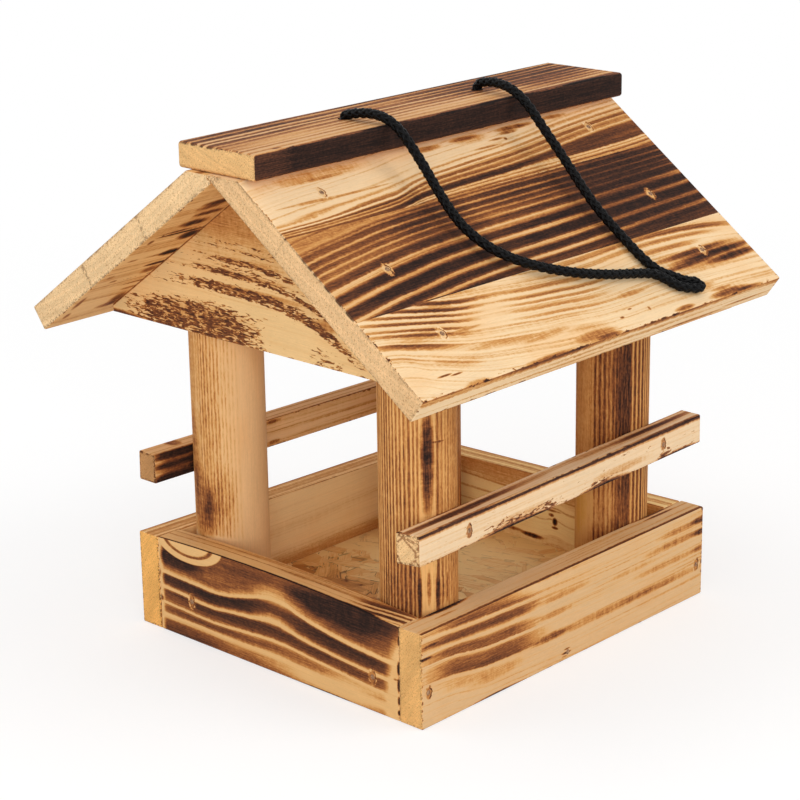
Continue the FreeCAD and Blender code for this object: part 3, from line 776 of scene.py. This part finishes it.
traySideFront = {
    "seat": seats["frontFace"], "seed": 9, "low": (-125, 0, -16.5), "high": (125, 70, 0), "pale": (220, 180, 132),
    "sawn": (234, 182, 114), "nicks": 1.2, "rim": 0.5, "nails": [(-119.6, 20.5), (120, 20.5)], "scuff": (0.4, 0.85),
    "face": {
        "bends": {
            36: {-125: 5.8, -112: 5.4, -100: 4.5, -90: 3, -80: 1.5, -70: 0.4, -60: 0, -40: -0.8, -20: -1.4, 0: -2,
                60: -2.4, 125: -1},
            46: {-125: 3.6, -110: 2.8, -100: 2, -80: 0.8, -60: 0, -40: -0.8, -20: -1.4, 0: -2, 60: -2.4, 125: -1}},
        "bands": {
            -4: 0.02, 13.4: 0.06, 15: 0.3, 16.4: 0.28, 17.4: 0.1, 19: 0.08, 19.8: 0.7, 21.5: 0.82, 23.8: 0.7,
            27.2: 0.6, 28.4: 0.45, 29.2: 0.06, 30.4: 0.06, 31: 0.65, 32.6: 0.72, 35.4: 0.6, 37: 0.4, 38: 0.06,
            39.6: 0.06, 41: 0.4, 42: 0.75, 44.4: 0.78, 46: 0.5, 47: 0.06, 48.4: 0.05, 49.4: 0.6, 51: 0.78, 56: 0.8,
            62: 0.85},
        "wander": 0.6, "ragged": 1.0, "fuzz": 0.2, "most": 0.86, "growth": 0.2, "base": 0.04,
        "heat": [
            (-76, 34, 58, 36, 0.95), (-110, 48, 44, 14, 0.3), (-42, 24, 36, 9, 0.3), (-48, 44, 30, 10, 0.3),
            (-112, 8, 20, 12, -0.4)],
        "patches": [
            (-62, 0, 34, 2.0, 0.95), (20, 0, 24, 1.2, 0.5), (-20, 19, 26, 3.6, 0.4), (30, 18.3, 80, 4.2, 0.3),
            (90, 18.4, 60, 3.6, 0.28), (124, 48.6, 13, 3.4, 0.55), (104, 47.8, 34, 3.4, 0.34),
            (124, 40.6, 13, 3, 0.5), (100, 41, 44, 3.4, 0.36), (124, 30.4, 12, 3, 0.36), (90, 30, 50, 3.2, 0.28),
            (-14, 32, 26, 3, 0.3), (-8, 41.4, 40, 3, 0.26), (56, 36, 40, 2.6, 0.2), (-64, 13, 34, 6, 0.24),
            (-90, 17, 30, 4, 0.18), (-122, 40.4, 9, 1.4, 0.8), (-117, 47, 12, 1.8, 0.7), (-3.5, 4.4, 6, 1.0, 0.9),
            (-3, 6.6, 4, 0.8, 0.7), (-5, 2.6, 4, 0.7, 0.4)],
    },
    "edge": {
        "bands": {-16.5: 0.05, -12: 0.03, -8: 0.06, -4: 0.02, -2.4: 0.06, -1.5: 0.75, 0: 0.9}, "ragged": 1.2,
        "base": 0.9,
        "patches": [
            (-90, -15.4, 26, 3.6, 1.1), (-96, -9, 14, 1.6, 0.35), (96, -16, 28, 2.2, 0.9), (98, -12, 22, 1.6, 0.75)],
    },
    "back": {"rows": 0.1, "base": 0.15},
}
torch("tray_side_front", traySideFront)

# Painted light: the inner face is given a near-white pale colour to stand in for the light that reaches inside the
# tray.
traySideBack = {
    "seat": ((0, 95.5, 0), (1, 0, 0), (0, 0, 1)), "seed": 10, "low": (-125, 0, -16.5), "high": (125, 70, 0),
    "pale": (255, 218, 160), "sawn": (248, 186, 104), "nicks": 1.0, "rim": 0.9,
    "face": {
        "bends": {20: {-125: 2, 0: 0, 125: 3}},
        "bands": {0: 0.4, 8: 0.34, 12: 0.26, 17: 0.1, 21: 0.03, 30: 0.05, 34: 0.1, 40: 0.03, 56: 0.04}, "wander": 2.5,
        "growth": 0.04,
    },
    "edge": {
        "bands": {-16.5: 0.7, -15: 0.3, -12: 0.05, -9: 0.3, -7.5: 0.1, -5: 0.25, -3: 0.08, -1: 0.1, 0: 0.7},
        "wander": 1.4,
    },
    "back": {"rows": 0.13, "base": 0.8, "heat": [(40, 30, 90, 30, 0.2)]},
}
torch("tray_side_back", traySideBack)

# Painted light: the inner face is given a near-white pale colour to stand in for the light that reaches inside the
# tray.
trayEndRight = {
    "seat": ((108.5, 0, 0), (0, -1, 0), (0, 0, 1)), "seed": 11, "low": (-95.5, 0, -16.5), "high": (95.5, 70, 0),
    "pale": (255, 226, 160), "nicks": 1.2,
    "face": {
        "bends": {20: {-96: 1, 0: 0, 12: 2, 24: 0, 96: 2}},
        "bands": {
            0: 0.3, 9: 0.12, 12: 0.14, 14: 0.02, 24: 0.02, 25: 0.2, 26: 0.02, 32: 0.02, 33: 0.24, 34.4: 0.05, 40: 0.1,
            41: 0.34, 42: 0.2, 56: 0.4},
        "wander": 2.6, "fuzz": 0.4, "growth": 0.04,
        "patches": [
            (12, 26, 2.6, 3.4, 1.0), (12, 22, 3.4, 1.4, 0.7), (9, 30, 3, 1.6, 0.6), (8, 33, 12, 1.2, 0.4),
            (-6, 12.5, 12, 2.2, 0.9), (-24, 13.5, 14, 1.8, 0.5)],
    },
    "edge": {"bands": {-16.5: 0.5, -14: 0.1, -9: 0.05, -7.5: 0.3, -6: 0.06, -1: 0.1, 0: 0.6}, "wander": 1.4},
    "back": {"rows": 0.11, "base": 0.7, "heat": [(-30, 30, 60, 30, 0.35)], "wander": 3},
}
torch("tray_end_right", trayEndRight)

# Gables: the saw left them furry, and the torch caught the fibres in rows
gable = {
    "low": (-134, 0, -20), "high": (134, 110, 0),
    "edge": {"rows": 0.2, "base": 0.4}, "back": {"rows": 0.08, "base": 0.2},
}
gableLeft = {
    "seat": ((-117, 0, 185.5), (0, -1, 0), (0, 0, 1)), "seed": 12, "pale": (238, 198, 140), "nicks": 1.0,
    "rake": (134, 4.2),
    "face": {
        "bands": {-5: 0.02, 10: 0.03, 24: 0.04, 60: 0.2, 110: 0.3}, "wander": 2.0, "growth": 0.07, "mottle": 0.1,
        "heat": [(30, 12, 60, 16, -0.7), (-90, 34, 50, 26, -0.3)], "base": 0.8,
        "patches": [
            (-128, 0, 30, 3, 0.7), (-60, 10, 70, 14, 0.2), (-20, 31, 70, 3.4, 0.3), (40, 23, 20, 5, 0.3),
            (-20, 39, 60, 3, 0.24), (-20, 47, 50, 3, 0.24), (-30, 74, 80, 30, 0.3)],
    },
    "flecks": {
        "bends": {
            0: {-134: -8, -110: -4, -85: -1, -60: 0, -30: 0, 0: -1.5, 10: -3.4, 20: -5, 30: -8, 40: -12, 50: -17,
                70: -26}},
        "bands": {
            -30: 0.8, -10: 0.9, 6: 1.0, 12: 0.9, 18: 0.7, 21.5: 0.0, 26: 0.0, 27.6: 0.9, 30: 1.0, 32.4: 0.9, 34: 0.1,
            36.8: 0.1, 37.8: 0.95, 40: 0.9, 41: 0.1, 43: 0.5, 44: 0.1, 45.2: 0.9, 48: 0.95, 48.9: 0.1, 52: 0.2,
            53: 0.85, 54.4: 0.2, 57: 0.7, 58.6: 0.1, 62: 0.6, 63: 0.05, 110: 0.0},
        "base": 0.0, "fuzz": 0.0, "growth": 0.0, "wander": 1.2,
        "heat": [
            (-64, 8, 84, 24, 1.35), (-20, 32, 92, 18, 1.1), (-20, 50, 60, 18, 1.0), (30, 22, 44, 13, 0.95),
            (8, 10, 22, 15, -1.6), (46, 8, 34, 16, 0.75)],
    },
}
torch("gable_left", {**gable, **gableLeft})

gableRight = {
    "seat": ((117, 0, 185.5), (0, 1, 0), (0, 0, 1)), "seed": 13, "pale": (226, 178, 116), "nicks": 1.2,
    "face": {
        "bends": {0: {-134: -14, -70: -4, 0: 0, 70: -4, 134: -14}}, "rows": 0.09, "base": 0.35,
        "heat": [(-40, 20, 70, 26, 0.5), (50, 50, 50, 20, 0.4)], "wander": 3,
    },
}
torch("gable_right", {**gable, **gableRight})

# Posts, unrolled: the measure round a post starts at the side that faces the camera
postRadius = 21.5


def postSeat(x, y):
    away = Vector((camera["place"][0] * 1000 - x, camera["place"][1] * 1000 - y, 0)).normalized()
    return (x, y, 0), (0, 0, 1), tuple(away)


postFrontLeft = {
    "seat": postSeat(-85, -74), "seed": 14, "pale": (238, 184, 116),
    "face": {
        "bands": {
            -68: 0.3, -60: 0.1, -54: 0.6, -50: 0.1, -44: 0.4, -40: 0.1, -34: 0.5, -30: 0.15, -27: 0.6, -26: 0.2,
            -25: 0.6, -24: 0.1, -22.6: 0.75, -21.6: 0.1, -20.2: 0.9, -19.4: 0.1, -18.4: 0.95, -17.5: 0.08,
            -16.3: 0.85, -15.3: 0.06, -14.1: 0.85, -13.1: 0.06, -11.9: 0.8, -10.8: 0.06, -9.6: 0.85, -8.4: 0.06,
            -7.3: 0.85, -5.9: 0.06, -4.6: 0.8, -3.3: 0.06, -2.3: 0.75, -1.2: 0.1, 0: 0.7, 1: 0.03, 9.6: 0.03,
            10.4: 0.6, 11.2: 0.85, 12.2: 0.2, 13.8: 0.65, 15: 0.2, 16.3: 0.55, 17.3: 0.2, 18.3: 0.6, 19.4: 0.3,
            20.6: 0.5, 21.8: 0.36, 23: 0.55, 24.4: 0.42, 27: 0.4, 32: 0.36, 40: 0.4, 46: 0.1, 54: 0.3, 68: 0.3},
        "wander": 0.35, "ragged": 0.3, "fuzz": 0.16, "growth": 0.1, "dashes": 0.25, "base": 0.9,
        "heat": [(68, -6, 30, 24, 0.4), (165, -10, 26, 14, -0.2), (140, 16, 40, 8, -0.1)],
        "patches": [
            (150, 5.2, 14, 7, 0.12), (150, 12, 1.2, 5, 0.7), (140, 5.2, 44, 5.4, 0.76), (68, 5.5, 15, 2, 0.45),
            (64, 0.3, 22, 2, 0.85), (64, 10.8, 20, 2.4, 0.85), (66, 14.2, 14, 1, 0.7), (66, 17.2, 14, 1, 0.6)],
    },
}
torch("post_front_left", {"round": postRadius, **postFrontLeft})

postBackLeft = {
    "seat": postSeat(-85, 74), "seed": 15, "pale": (236, 190, 136),
    "face": {
        "bands": {
            -68: 0.3, -56: 0.1, -48: 0.5, -42: 0.3, -34: 0.5, -28: 0.4, -24: 0.5, -21.4: 0.3, -20.6: 0.6, -19.4: 0.25,
            -18.4: 0.8, -17.4: 0.2, -16.3: 0.8, -15.3: 0.2, -14.3: 0.8, -13.2: 0.18, -12.2: 0.8, -11: 0.16, -10: 0.75,
            -8.9: 0.14, -7.8: 0.75, -6.8: 0.1, -5.6: 0.65, -4.6: 0.06, -3.4: 0.5, -2.6: 0.05, -1.6: 0.5, -0.6: 0.05,
            0.6: 0.42, 1.6: 0.04, 2.8: 0.36, 3.8: 0.03, 5: 0.26, 6: 0.02, 20: 0.02, 40: 0.08, 50: 0.3, 56: 0.05,
            68: 0.3},
        "wander": 0.4, "ragged": 0.5, "fuzz": 0.35, "growth": 0.05, "dashes": 0.4, "base": 0.6,
        "heat": [(78, -19, 28, 18, 0.45), (82, -3, 30, 10, 0.5), (54, -14, 8, 30, -1.2), (140, -12, 60, 12, 0.12)],
        "patches": [
            (78, -21, 32, 14, 0.5), (74, -13, 20, 7, 0.32), (84, -5, 28, 12, 0.16), (110, -27, 34, 10, 0.36),
            (160, -26, 50, 10, 0.22)],
    },
}
torch("post_back_left", {"round": postRadius, **postBackLeft})

postFrontRight = {
    "seat": postSeat(85, -74), "seed": 16, "pale": (214, 158, 78),
    "face": {
        "bands": {
            -68: 0.3, -50: 0.25, -34: 0.3, -20: 0.32, -12: 0.3, -11.4: 0.45, -10.5: 0.9, -9.2: 0.35, -8.4: 0.45,
            -7.4: 0.92, -6: 0.35, -4.6: 0.9, -3.2: 0.35, -2: 0.75, -0.8: 0.3, 0.6: 0.85, 1.4: 0.4, 2.4: 0.9,
            3.4: 0.65, 4.4: 0.95, 5.4: 0.7, 6.6: 0.97, 7.8: 0.85, 9.2: 0.97, 10.6: 0.9, 11.4: 0.6, 12.4: 0.06,
            13.2: 0.75, 14.2: 0.85, 15.3: 0.06, 16.2: 0.75, 17.3: 0.8, 18.4: 0.06, 19.4: 0.85, 20.5: 0.85, 21.4: 0.06,
            22.5: 0.85, 23.6: 0.06, 25: 0.85, 26.4: 0.1, 28: 0.7, 30: 0.15, 34: 0.5, 44: 0.1, 54: 0.4, 68: 0.3},
        "wander": 0.3, "ragged": 0.3, "fuzz": 0.16, "growth": 0.1, "dashes": 0.2, "base": 0.95,
        "heat": [(140, 6, 40, 12, 0.25), (66, -6, 26, 12, -0.35), (62, -26, 34, 18, -0.9), (60, 8, 24, 8, -0.15)],
    },
}
torch("post_front_right", {"round": postRadius, **postFrontRight})

postBackRight = {
    "seat": postSeat(85, 74), "seed": 17, "pale": (220, 172, 112),
    "face": {"rows": 0.3, "base": 0.7, "heat": [(90, 0, 60, 30, 0.3)], "wander": 0.8},
}
torch("post_back_right", {"round": postRadius, **postBackRight})

# Perch rails: each falls a little over its length, in opposite directions
perch = {"length": 249.0, "fall": 4.7, "low": (-124.5, -8.75, -14), "high": (124.5, 8.75, 0)}


def perchBoard(y, z, way, board):
    tilt = way * math.atan2(perch["fall"], perch["length"])
    seat = ((0, y, z), (math.cos(tilt), 0, math.sin(tilt)), (-math.sin(tilt), 0, math.cos(tilt)))
    return {"seat": seat, "low": perch["low"], "high": perch["high"], **board}


perchFront = {
    "seed": 18, "pale": (238, 206, 164), "sawn": (238, 198, 144), "nicks": 1.6, "nickBurn": 0.8, "vivid": 0.95,
    "rim": 0.9, "cracks": (0, 0.35, 0.62), "nails": [(-83.5, 0), (88, 0)], "scuff": (0.42, 0.85),
    "face": {
        "bands": {-9: 0.1, -6: 0.03, 5.4: 0.03, 6.6: 0.3, 7.2: 0.85, 8.8: 1.0}, "wander": 0.5, "ragged": 1.0,
        "base": 1.0, "growth": 0.08,
        "patches": [
            (-48, -9.4, 40, 4.4, 1.1), (-20, -9, 18, 2.6, 0.7), (34, -9.6, 32, 4.6, 1.1), (104, -9.4, 28, 3.4, 1.0),
            (88, -7, 5, 3, 0.5), (48, -3, 40, 4, 0.2), (-40, -4, 40, 3.4, 0.16), (-100, -9, 24, 1.4, 0.6)],
    },
    "flecks": {
        "bands": {-9: 0.5, 9: 0.5}, "base": 0.0, "growth": 0.0, "fuzz": 0.0,
        "heat": [
            (-46, -7.5, 44, 7.5, 1.6), (-16, -7.5, 24, 6, 1.1), (32, -8, 30, 6.5, 1.7), (100, -8.5, 34, 4.6, 1.5),
            (90, -5, 9, 6, 1.1), (55, 5, 14, 5, 0.5), (-80, 4, 30, 5, -0.5), (20, 3, 60, 5, -0.2)],
    },
    "edge": {
        "bands": {
            -14: 0.2, -12.6: 0.1, -10.6: 0.1, -9.8: 0.7, -8: 0.85, -6.4: 0.6, -5.6: 0.1, -2: 0.05, -1: 0.5, 0: 0.8},
        "wander": 0.5, "base": 0.3, "fuzz": 0.15,
        "heat": [
            (-80, -8, 60, 10, 0.8), (86, -8, 44, 8, 0.75), (-90, 0, 36, 3, 0.6), (90, 0, 60, 3, 0.8),
            (3, -8, 24, 12, -0.2)],
        "patches": [(-88, -13.6, 40, 2, 0.7), (56, -14, 12, 2, 0.6), (94, -14, 20, 2, 0.8), (-82, -6.4, 30, 2, 0.7)],
    },
    "back": {"rows": 0.25, "base": 0.5},
}
torch("perch_rail_front", perchBoard(-109.5, 102.9, 1, perchFront), "perch_front")

perchBack = {
    "seed": 19, "pale": (238, 194, 142), "sawn": (186, 138, 90), "nicks": 1.4, "rim": 1.0,
    "face": {
        "bands": {-9: 0.8, -6: 1.0, -4: 0.3, -2: 0.2, -0.6: 0.8, 1: 0.9, 2.6: 0.2, 3.8: 0.2, 5: 0.9, 9: 1.0},
        "wander": 0.6, "base": 0.14, "heat": [(-104, 0, 27, 40, 1.6)],
        "patches": [
            (-30, 7, 10, 2, 0.5), (-29, -6, 8, 2, 0.5), (-97, -4, 15, 4, 0.8), (-97, 3, 12, 4, 0.7),
            (-118, -7.6, 14, 2.4, 0.9)],
    },
    "edge": {"bands": {-14: 0.1, -6: 0.06, -1.4: 0.1, 0: 0.9}, "base": 0.9, "patches": [(-102, -10, 7, 8, 0.5)]},
    "back": {"rows": 0.25, "base": 0.5},
}
torch("perch_rail_back", perchBoard(95.5, 96.6, -1, perchBack), "perch_back")
print("boards torched")

# Floor panel of pressed strands
strandBoard = {
    # The pale strands are set near white, partly their own colour and partly painted light for the floor's brighter
    # right end.
    "brown": tone(190, 128, 62), "mid": tone(236, 184, 112), "pale": tone(255, 224, 160), "gap": tone(84, 34, 8),
    # Turn and scale of each layer of strands: they lie across each other.
    "layers": [(0.35, (0.04, 0.13, 0.3)), (-0.7, (0.035, 0.15, 0.3)), (1.3, (0.045, 0.14, 0.3))],
    "relief": 0.4, "reliefDepth": 0.0006,
}


def strandMaterial():
    material, pad, shader = newMaterial("pressedStrands")
    place = pad.millimetres()
    warp = pad.noise(place, (0.05, 0.05, 0.05))
    warp = pad.vec("MULTIPLY", pad.join(warp, warp), (0.5, 0.5, 0))
    shade, gaps, height = 0.5, 0.0, 0.5
    fromLeft = pad.split(place)[0]
    for turn, scale in strandBoard["layers"]:
        turned = pad.feed(pad.add("ShaderNodeMapping", vector_type="POINT"), {
            "Vector": place, "Rotation": (0, 0, turn), "Location": (turn * 40, turn * 70, 0)})[0]
        spot = {"Vector": pad.vec("ADD", pad.vec("MULTIPLY", turned, scale), warp), "Scale": 1.0}
        cell = pad.feed(pad.add("ShaderNodeTexVoronoi", feature="F1"), spot)
        edge = pad.feed(pad.add("ShaderNodeTexVoronoi", feature="DISTANCE_TO_EDGE"), spot)
        first, second, third = pad.split(cell["Color"])
        slot = pad.noise(place, (0.11, 0.11, 0.11))
        line = pad.times(pad.smooth(edge["Distance"], 0.0, 0.1, 1.0, 0.0), pad.smooth(slot, 0.5, 0.6, 0.06, 1.0))
        chip = pad.smooth(pad.noise(turned, (0.13, 0.85, 0.5), detail=1.0), 0.69, 0.74)
        # The dark gaps are painted fainter toward the right end, part of the same painted light.
        line = pad.times(pad.larger(line, chip), pad.smooth(fromLeft, -10, 40, 1.0, 0.3))
        streak = pad.noise(turned, (0.05, 1.1, 1.0), detail=3.0)
        level = pad.timesPlus(pad.minus(streak, 0.5), 1.3, second)
        over = pad.math("GREATER_THAN", first, 0.5)
        shade, gaps, height = [
            pad.lerp(under, upper, over) for under, upper in ((shade, level), (gaps, line), (height, third))]
    fibres = pad.noise(pad.vec("ADD", place, warp), (0.09, 0.8, 0.5), detail=3.0, distortion=0.6)
    shade = pad.lerp(shade, fibres, 0.35)
    # Painted light: the strands are painted darker toward the left end and paler toward the right end, where more light
    # falls on the floor.
    shade = pad.plus(shade, pad.smooth(fromLeft, -60, 70, -0.3, 0.42))
    colour = pad.ramp(shade, {0.15: strandBoard["brown"], 0.45: strandBoard["mid"], 0.8: strandBoard["pale"]})
    colour = pad.blend(colour, strandBoard["gap"], pad.times(gaps, 0.85))
    pad.feed(shader, {"Base Color": colour, "Roughness": pad.timesPlus(shade, 0.15, 0.5)})
    height = pad.timesPlus(gaps, -0.8, pad.times(height, 0.4))
    pad.relief(shader, height, strandBoard["relief"], strandBoard["reliefDepth"])
    return material


dress(nodes["floor_panel"], strandMaterial())


# Nails and dowels
def nailMaterial():
    material, pad, shader = newMaterial("dulledSteel")
    dull = pad.noise(pad.millimetres(), (1.2, 1.2, 1.2), detail=3.0, roughness=0.65)
    colour = pad.ramp(dull, {0.35: tone(84, 56, 36), 0.5: tone(140, 98, 64), 0.65: tone(184, 146, 106)})
    pad.feed(shader, {
        "Base Color": colour,
        "Metallic": pad.smooth(dull, 0.45, 0.7, 0.1, 0.6),
        "Roughness": pad.smooth(dull, 0.4, 0.7, 0.62, 0.4),
    })
    return material


def dowelMaterial():
    material, pad, shader = newMaterial("smoothBeech")
    fibre = pad.noise(pad.millimetres(), (1.6, 1.6, 0.08), detail=3.0)
    colour = pad.ramp(fibre, {0.3: tone(204, 160, 110), 0.7: tone(232, 196, 148)})
    pad.feed(shader, {"Base Color": colour, "Roughness": pad.timesPlus(fibre, 0.2, 0.45)})
    return material


steel = nailMaterial()
for name in ("tray_nails", "floor_nails", "perch_nails", "roof_nails"):
    dress(nodes[name], steel)
dress(nodes["post_dowels"], dowelMaterial())


# Floor, world and lamps
def emptyPad(owner):
    owner.use_nodes = True
    owner.node_tree.nodes.clear()
    return NodePad(owner.node_tree)


def lightPathMix(pad, camShader, otherShader):
    path = pad.add("ShaderNodeLightPath")
    seen = pad.larger(path.outputs["Is Camera Ray"], path.outputs["Is Glossy Ray"])
    seen = pad.larger(seen, path.outputs["Is Transmission Ray"])
    return pad.feed(pad.add("ShaderNodeMixShader"), (seen, otherShader, camShader))[0]


floor = {
    "reach": 12.0,
    "albedo": 0.8,
    "glow": 0.56,
    "shade": 0.48,
    "turn": (0.3, 1.1),     # from here on it turns plain white
}


def addFloor():
    bpy.ops.mesh.primitive_plane_add(size=2 * floor["reach"], location=(0, 0, 0))
    plane = bpy.context.active_object
    plane.name = "studioFloor"
    material = bpy.data.materials.new("paleFloor")
    pad = emptyPad(material)
    # The floor keeps the shadow round the feeder and turns to plain white farther off.
    away = pad.length(pad.add("ShaderNodeTexCoord").outputs["Object"])
    glow = pad.add("ShaderNodeEmission")
    pad.plug(glow, "Strength", pad.smooth(away, *floor["turn"], floor["glow"], 1.0))
    seen = pad.add("ShaderNodeBsdfDiffuse")
    pad.plug(seen, "Color", pad.smooth(away, *floor["turn"], floor["shade"], 0.0))
    both = pad.feed(pad.add("ShaderNodeAddShader"), (glow.outputs[0], seen.outputs[0]))[0]
    plain = pad.feed(pad.add("ShaderNodeBsdfDiffuse"), {"Color": (floor["albedo"],) * 3 + (1,)})[0]
    out = pad.add("ShaderNodeOutputMaterial")
    pad.plug(out, "Surface", lightPathMix(pad, both, plain))
    plane.data.materials.append(material)
    plane.select_set(False)


addFloor()

studio = {
    "ambient": 0.62,
    "aim": (0, 0, 0.15),
    "lamps": [
        ("keyLamp", (0.9, -1.6, 1.7), 1.4, 13.0),
        ("topLamp", (-0.6, 1.1, 2.2), 1.6, 11.0),
        ("leftLamp", (-1.9, -0.3, 0.9), 1.2, 3.5),
        ("frontFill", (-1.5, -1.6, 0.6), 1.0, 15.0),
    ],
}


def addLights():
    world = bpy.data.worlds.new("studioWorld")
    bpy.context.scene.world = world
    pad = emptyPad(world)
    seen, light = [
        pad.feed(pad.add("ShaderNodeBackground"), {"Color": (1, 1, 1, 1), "Strength": strength})[0]
        for strength in (1.0, studio["ambient"])]
    out = pad.add("ShaderNodeOutputWorld")
    pad.plug(out, "Surface", lightPathMix(pad, seen, light))
    for name, place, size, power in studio["lamps"]:
        data = bpy.data.lights.new(name, "AREA")
        data.shape = "SQUARE"
        data.size = size
        data.energy = power
        lamp = putInScene(name, data)
        lamp.location = place
        aim = Vector(studio["aim"]) - Vector(place)
        lamp.rotation_euler = aim.to_track_quat("-Z", "Y").to_euler()


addLights()
print("floor and lamps in place")

# Rope
rope = {
    "diameter": 0.0054,
    "route": [
        (-0.058, 0.002, 0.3053), (-0.058, 0.002, 0.307), (-0.058, -0.0025, 0.3085), (-0.0575, -0.014, 0.3105),
        (-0.057, -0.026, 0.31), (-0.0555, -0.036, 0.305), (-0.053, -0.048, 0.29), (-0.054, -0.0675, 0.268),
        (-0.052, -0.079, 0.2555), (-0.0455, -0.0925, 0.245), (-0.0315, -0.104, 0.2365), (-0.008, -0.114, 0.2285),
        (0.0185, -0.1215, 0.223), (0.0405, -0.1245, 0.22), (0.052, -0.1275, 0.218), (0.0575, -0.132, 0.214),
        (0.0623, -0.137, 0.2099), (0.0695, -0.1392, 0.208), (0.0778, -0.1422, 0.2068), (0.077, -0.137, 0.2102),
        (0.0706, -0.135, 0.2111), (0.0625, -0.1295, 0.2155), (0.058, -0.126, 0.2175), (0.0545, -0.118, 0.2235),
        (0.053, -0.102, 0.236), (0.05, -0.0845, 0.252), (0.0505, -0.065, 0.273), (0.0495, -0.049, 0.2905),
        (0.0485, -0.0365, 0.3045), (0.0485, -0.0265, 0.31), (0.0495, -0.014, 0.312), (0.051, -0.0025, 0.3105),
        (0.052, 0.002, 0.308), (0.052, 0.002, 0.3053)],
    "strands": 4,       # each way round
    "lay": 0.021,       # length of one full turn of a strand
    "strandRadius": 0.00108,
    "middleRadius": 0.00158,
    "weave": 0.00032,
    "step": 0.0009,
    "coreRadius": 0.0019,
    "specular": 0.1,
    "relief": 0.4,
    "reliefDepth": 0.0003,
}


def ropeMaterial():
    material, pad, shader = newMaterial("blackBraid")
    yarn = pad.noise(pad.millimetres(), (2.2, 2.2, 2.2), detail=3.0, roughness=0.65)
    pad.feed(shader, {
        "Base Color": pad.ramp(yarn, {0.35: tone(1, 1, 2), 0.55: tone(5, 5, 6), 0.7: tone(16, 15, 17)}),
        "Roughness": pad.smooth(yarn, 0.35, 0.7, 0.42, 0.28),
        "Specular IOR Level": rope["specular"],
    })
    pad.relief(shader, yarn, rope["relief"], rope["reliefDepth"])
    return material


def newCurve(name, radius, roundness):
    data = bpy.data.curves.new(name, "CURVE")
    data.dimensions = "3D"
    data.bevel_depth = radius
    data.bevel_resolution = roundness
    data.use_fill_caps = radius > 0
    return data


def addSpline(data, kind, points):
    spline = data.splines.new(kind)
    spline.points.add(len(points) - 1)
    for point, place in zip(spline.points, points):
        point.co = (*place, 1)
    return spline


def softLine(name, points, radius=0.0, smoothness=24):
    # A NURBS curve through the air with the points as its control points.
    data = newCurve(name, radius, 4)
    data.resolution_u = smoothness
    spline = addSpline(data, "NURBS", points)
    spline.order_u = 3
    spline.use_endpoint_u = True
    return putInScene(name, data)


def readLine(line):
    # The points of a bare curve, as Blender itself draws it.
    bpy.context.view_layer.update()
    mesh = bpy.data.meshes.new_from_object(line)
    points = [vertex.co.copy() for vertex in mesh.vertices]
    bpy.data.meshes.remove(mesh)
    return points


def evenSteps(points, step):
    # Walks along the line and gives its place and frame at even steps, and its length.
    lengths = [0.0]
    for first, second in zip(points, points[1:]):
        lengths.append(lengths[-1] + (second - first).length)
    count = max(2, round(lengths[-1] / step))
    walked, index = [], 0
    for number in range(count + 1):
        want = lengths[-1] * number / count
        while index < len(points) - 2 and lengths[index + 1] < want:
            index += 1
        share = (want - lengths[index]) / max(lengths[index + 1] - lengths[index], 1e-9)
        walked.append(points[index].lerp(points[index + 1], share))
    frames = []
    side = Vector((1, 0, 0))
    for number, here in enumerate(walked):
        ahead = walked[min(number + 2, count)] - walked[max(number - 2, 0)]
        ahead.normalize()
        side = (side - ahead * side.dot(ahead)).normalized()
        frames.append((here, side.copy(), ahead.cross(side)))
    return frames, lengths[-1]


def strandPoints(frames, length, way, strand):
    # One strand's way round the rope, over and under those that go the other way.
    count, points = rope["strands"], []
    for number, (here, side, other) in enumerate(frames):
        turn = 2 * math.pi * length * number / (len(frames) - 1) / rope["lay"]
        angle = way * turn + 2 * math.pi * strand / count
        reach = rope["middleRadius"] + way * rope["weave"] * math.cos(count * turn)
        points.append(here + (side * math.cos(angle) + other * math.sin(angle)) * reach)
    return points


def addBraid(name, points):
    frames, length = evenSteps(points, rope["step"])
    data = newCurve(name, rope["strandRadius"], 2)
    for way in (1, -1):
        for strand in range(rope["strands"]):
            addSpline(data, "POLY", strandPoints(frames, length, way, strand))
    core = addSpline(data, "POLY", [here for here, side, other in frames])
    for point in core.points:
        point.radius = rope["coreRadius"] / rope["strandRadius"]
    braid = putInScene(name, data)
    bpy.context.view_layer.objects.active = braid
    braid.select_set(True)
    bpy.ops.object.convert(target="MESH")
    bpy.ops.object.shade_smooth()
    braid.select_set(False)
    return braid


routeLine = softLine("ropeRoute", rope["route"])
ropePoints = readLine(routeLine)
bpy.data.objects.remove(routeLine)
braid = addBraid("hangingRope", ropePoints)
blackBraid = ropeMaterial()
dress(braid, blackBraid)
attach(braid, "root")
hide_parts("hanging_rope")

# Stopper knots under the ridge, each with the stretch of rope in its hole
stopper = {
    "holeY": 0.002,
    "hole": (0.3053, 0.298, 0.29),      # heights in the hole, from its mouth down
    "tail": (0.2745, 0.2722),
    "tailShift": 0.001,
    "middle": 0.2784,
    "turn": 0.0021,
    "flatten": 0.72,
    "rise": 1.25,
    "steps": 16,
    "radius": 0.0026,
    "smoothness": 6,
}


def addStopper(name, node, x):
    # One overhand knot: down out of the hole, round the figure and a short tail.
    points = [(x, stopper["holeY"], z) for z in stopper["hole"]]
    turn, flat = stopper["turn"], stopper["flatten"]
    for step in range(1, stopper["steps"]):
        angle = 2 * math.pi * step / stopper["steps"]
        points.append((
            x + turn * (math.sin(angle) + 2 * math.sin(2 * angle)) * flat,
            turn * (math.cos(angle) - 2 * math.cos(2 * angle)) * flat,
            stopper["middle"] - turn * stopper["rise"] * math.sin(3 * angle)))
    points += [(x - stopper["tailShift"], stopper["tailShift"], z) for z in stopper["tail"]]
    knot = softLine(name, points, stopper["radius"], stopper["smoothness"])
    knot.data.materials.append(blackBraid)
    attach(knot, "root")
    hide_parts(node)
    return knot


knots = [
    addStopper("stopperKnotLeft", "rope_knot_left", rope["route"][0][0]),
    addStopper("stopperKnotRight", "rope_knot_right", rope["route"][-1][0])]
print("rope laid")
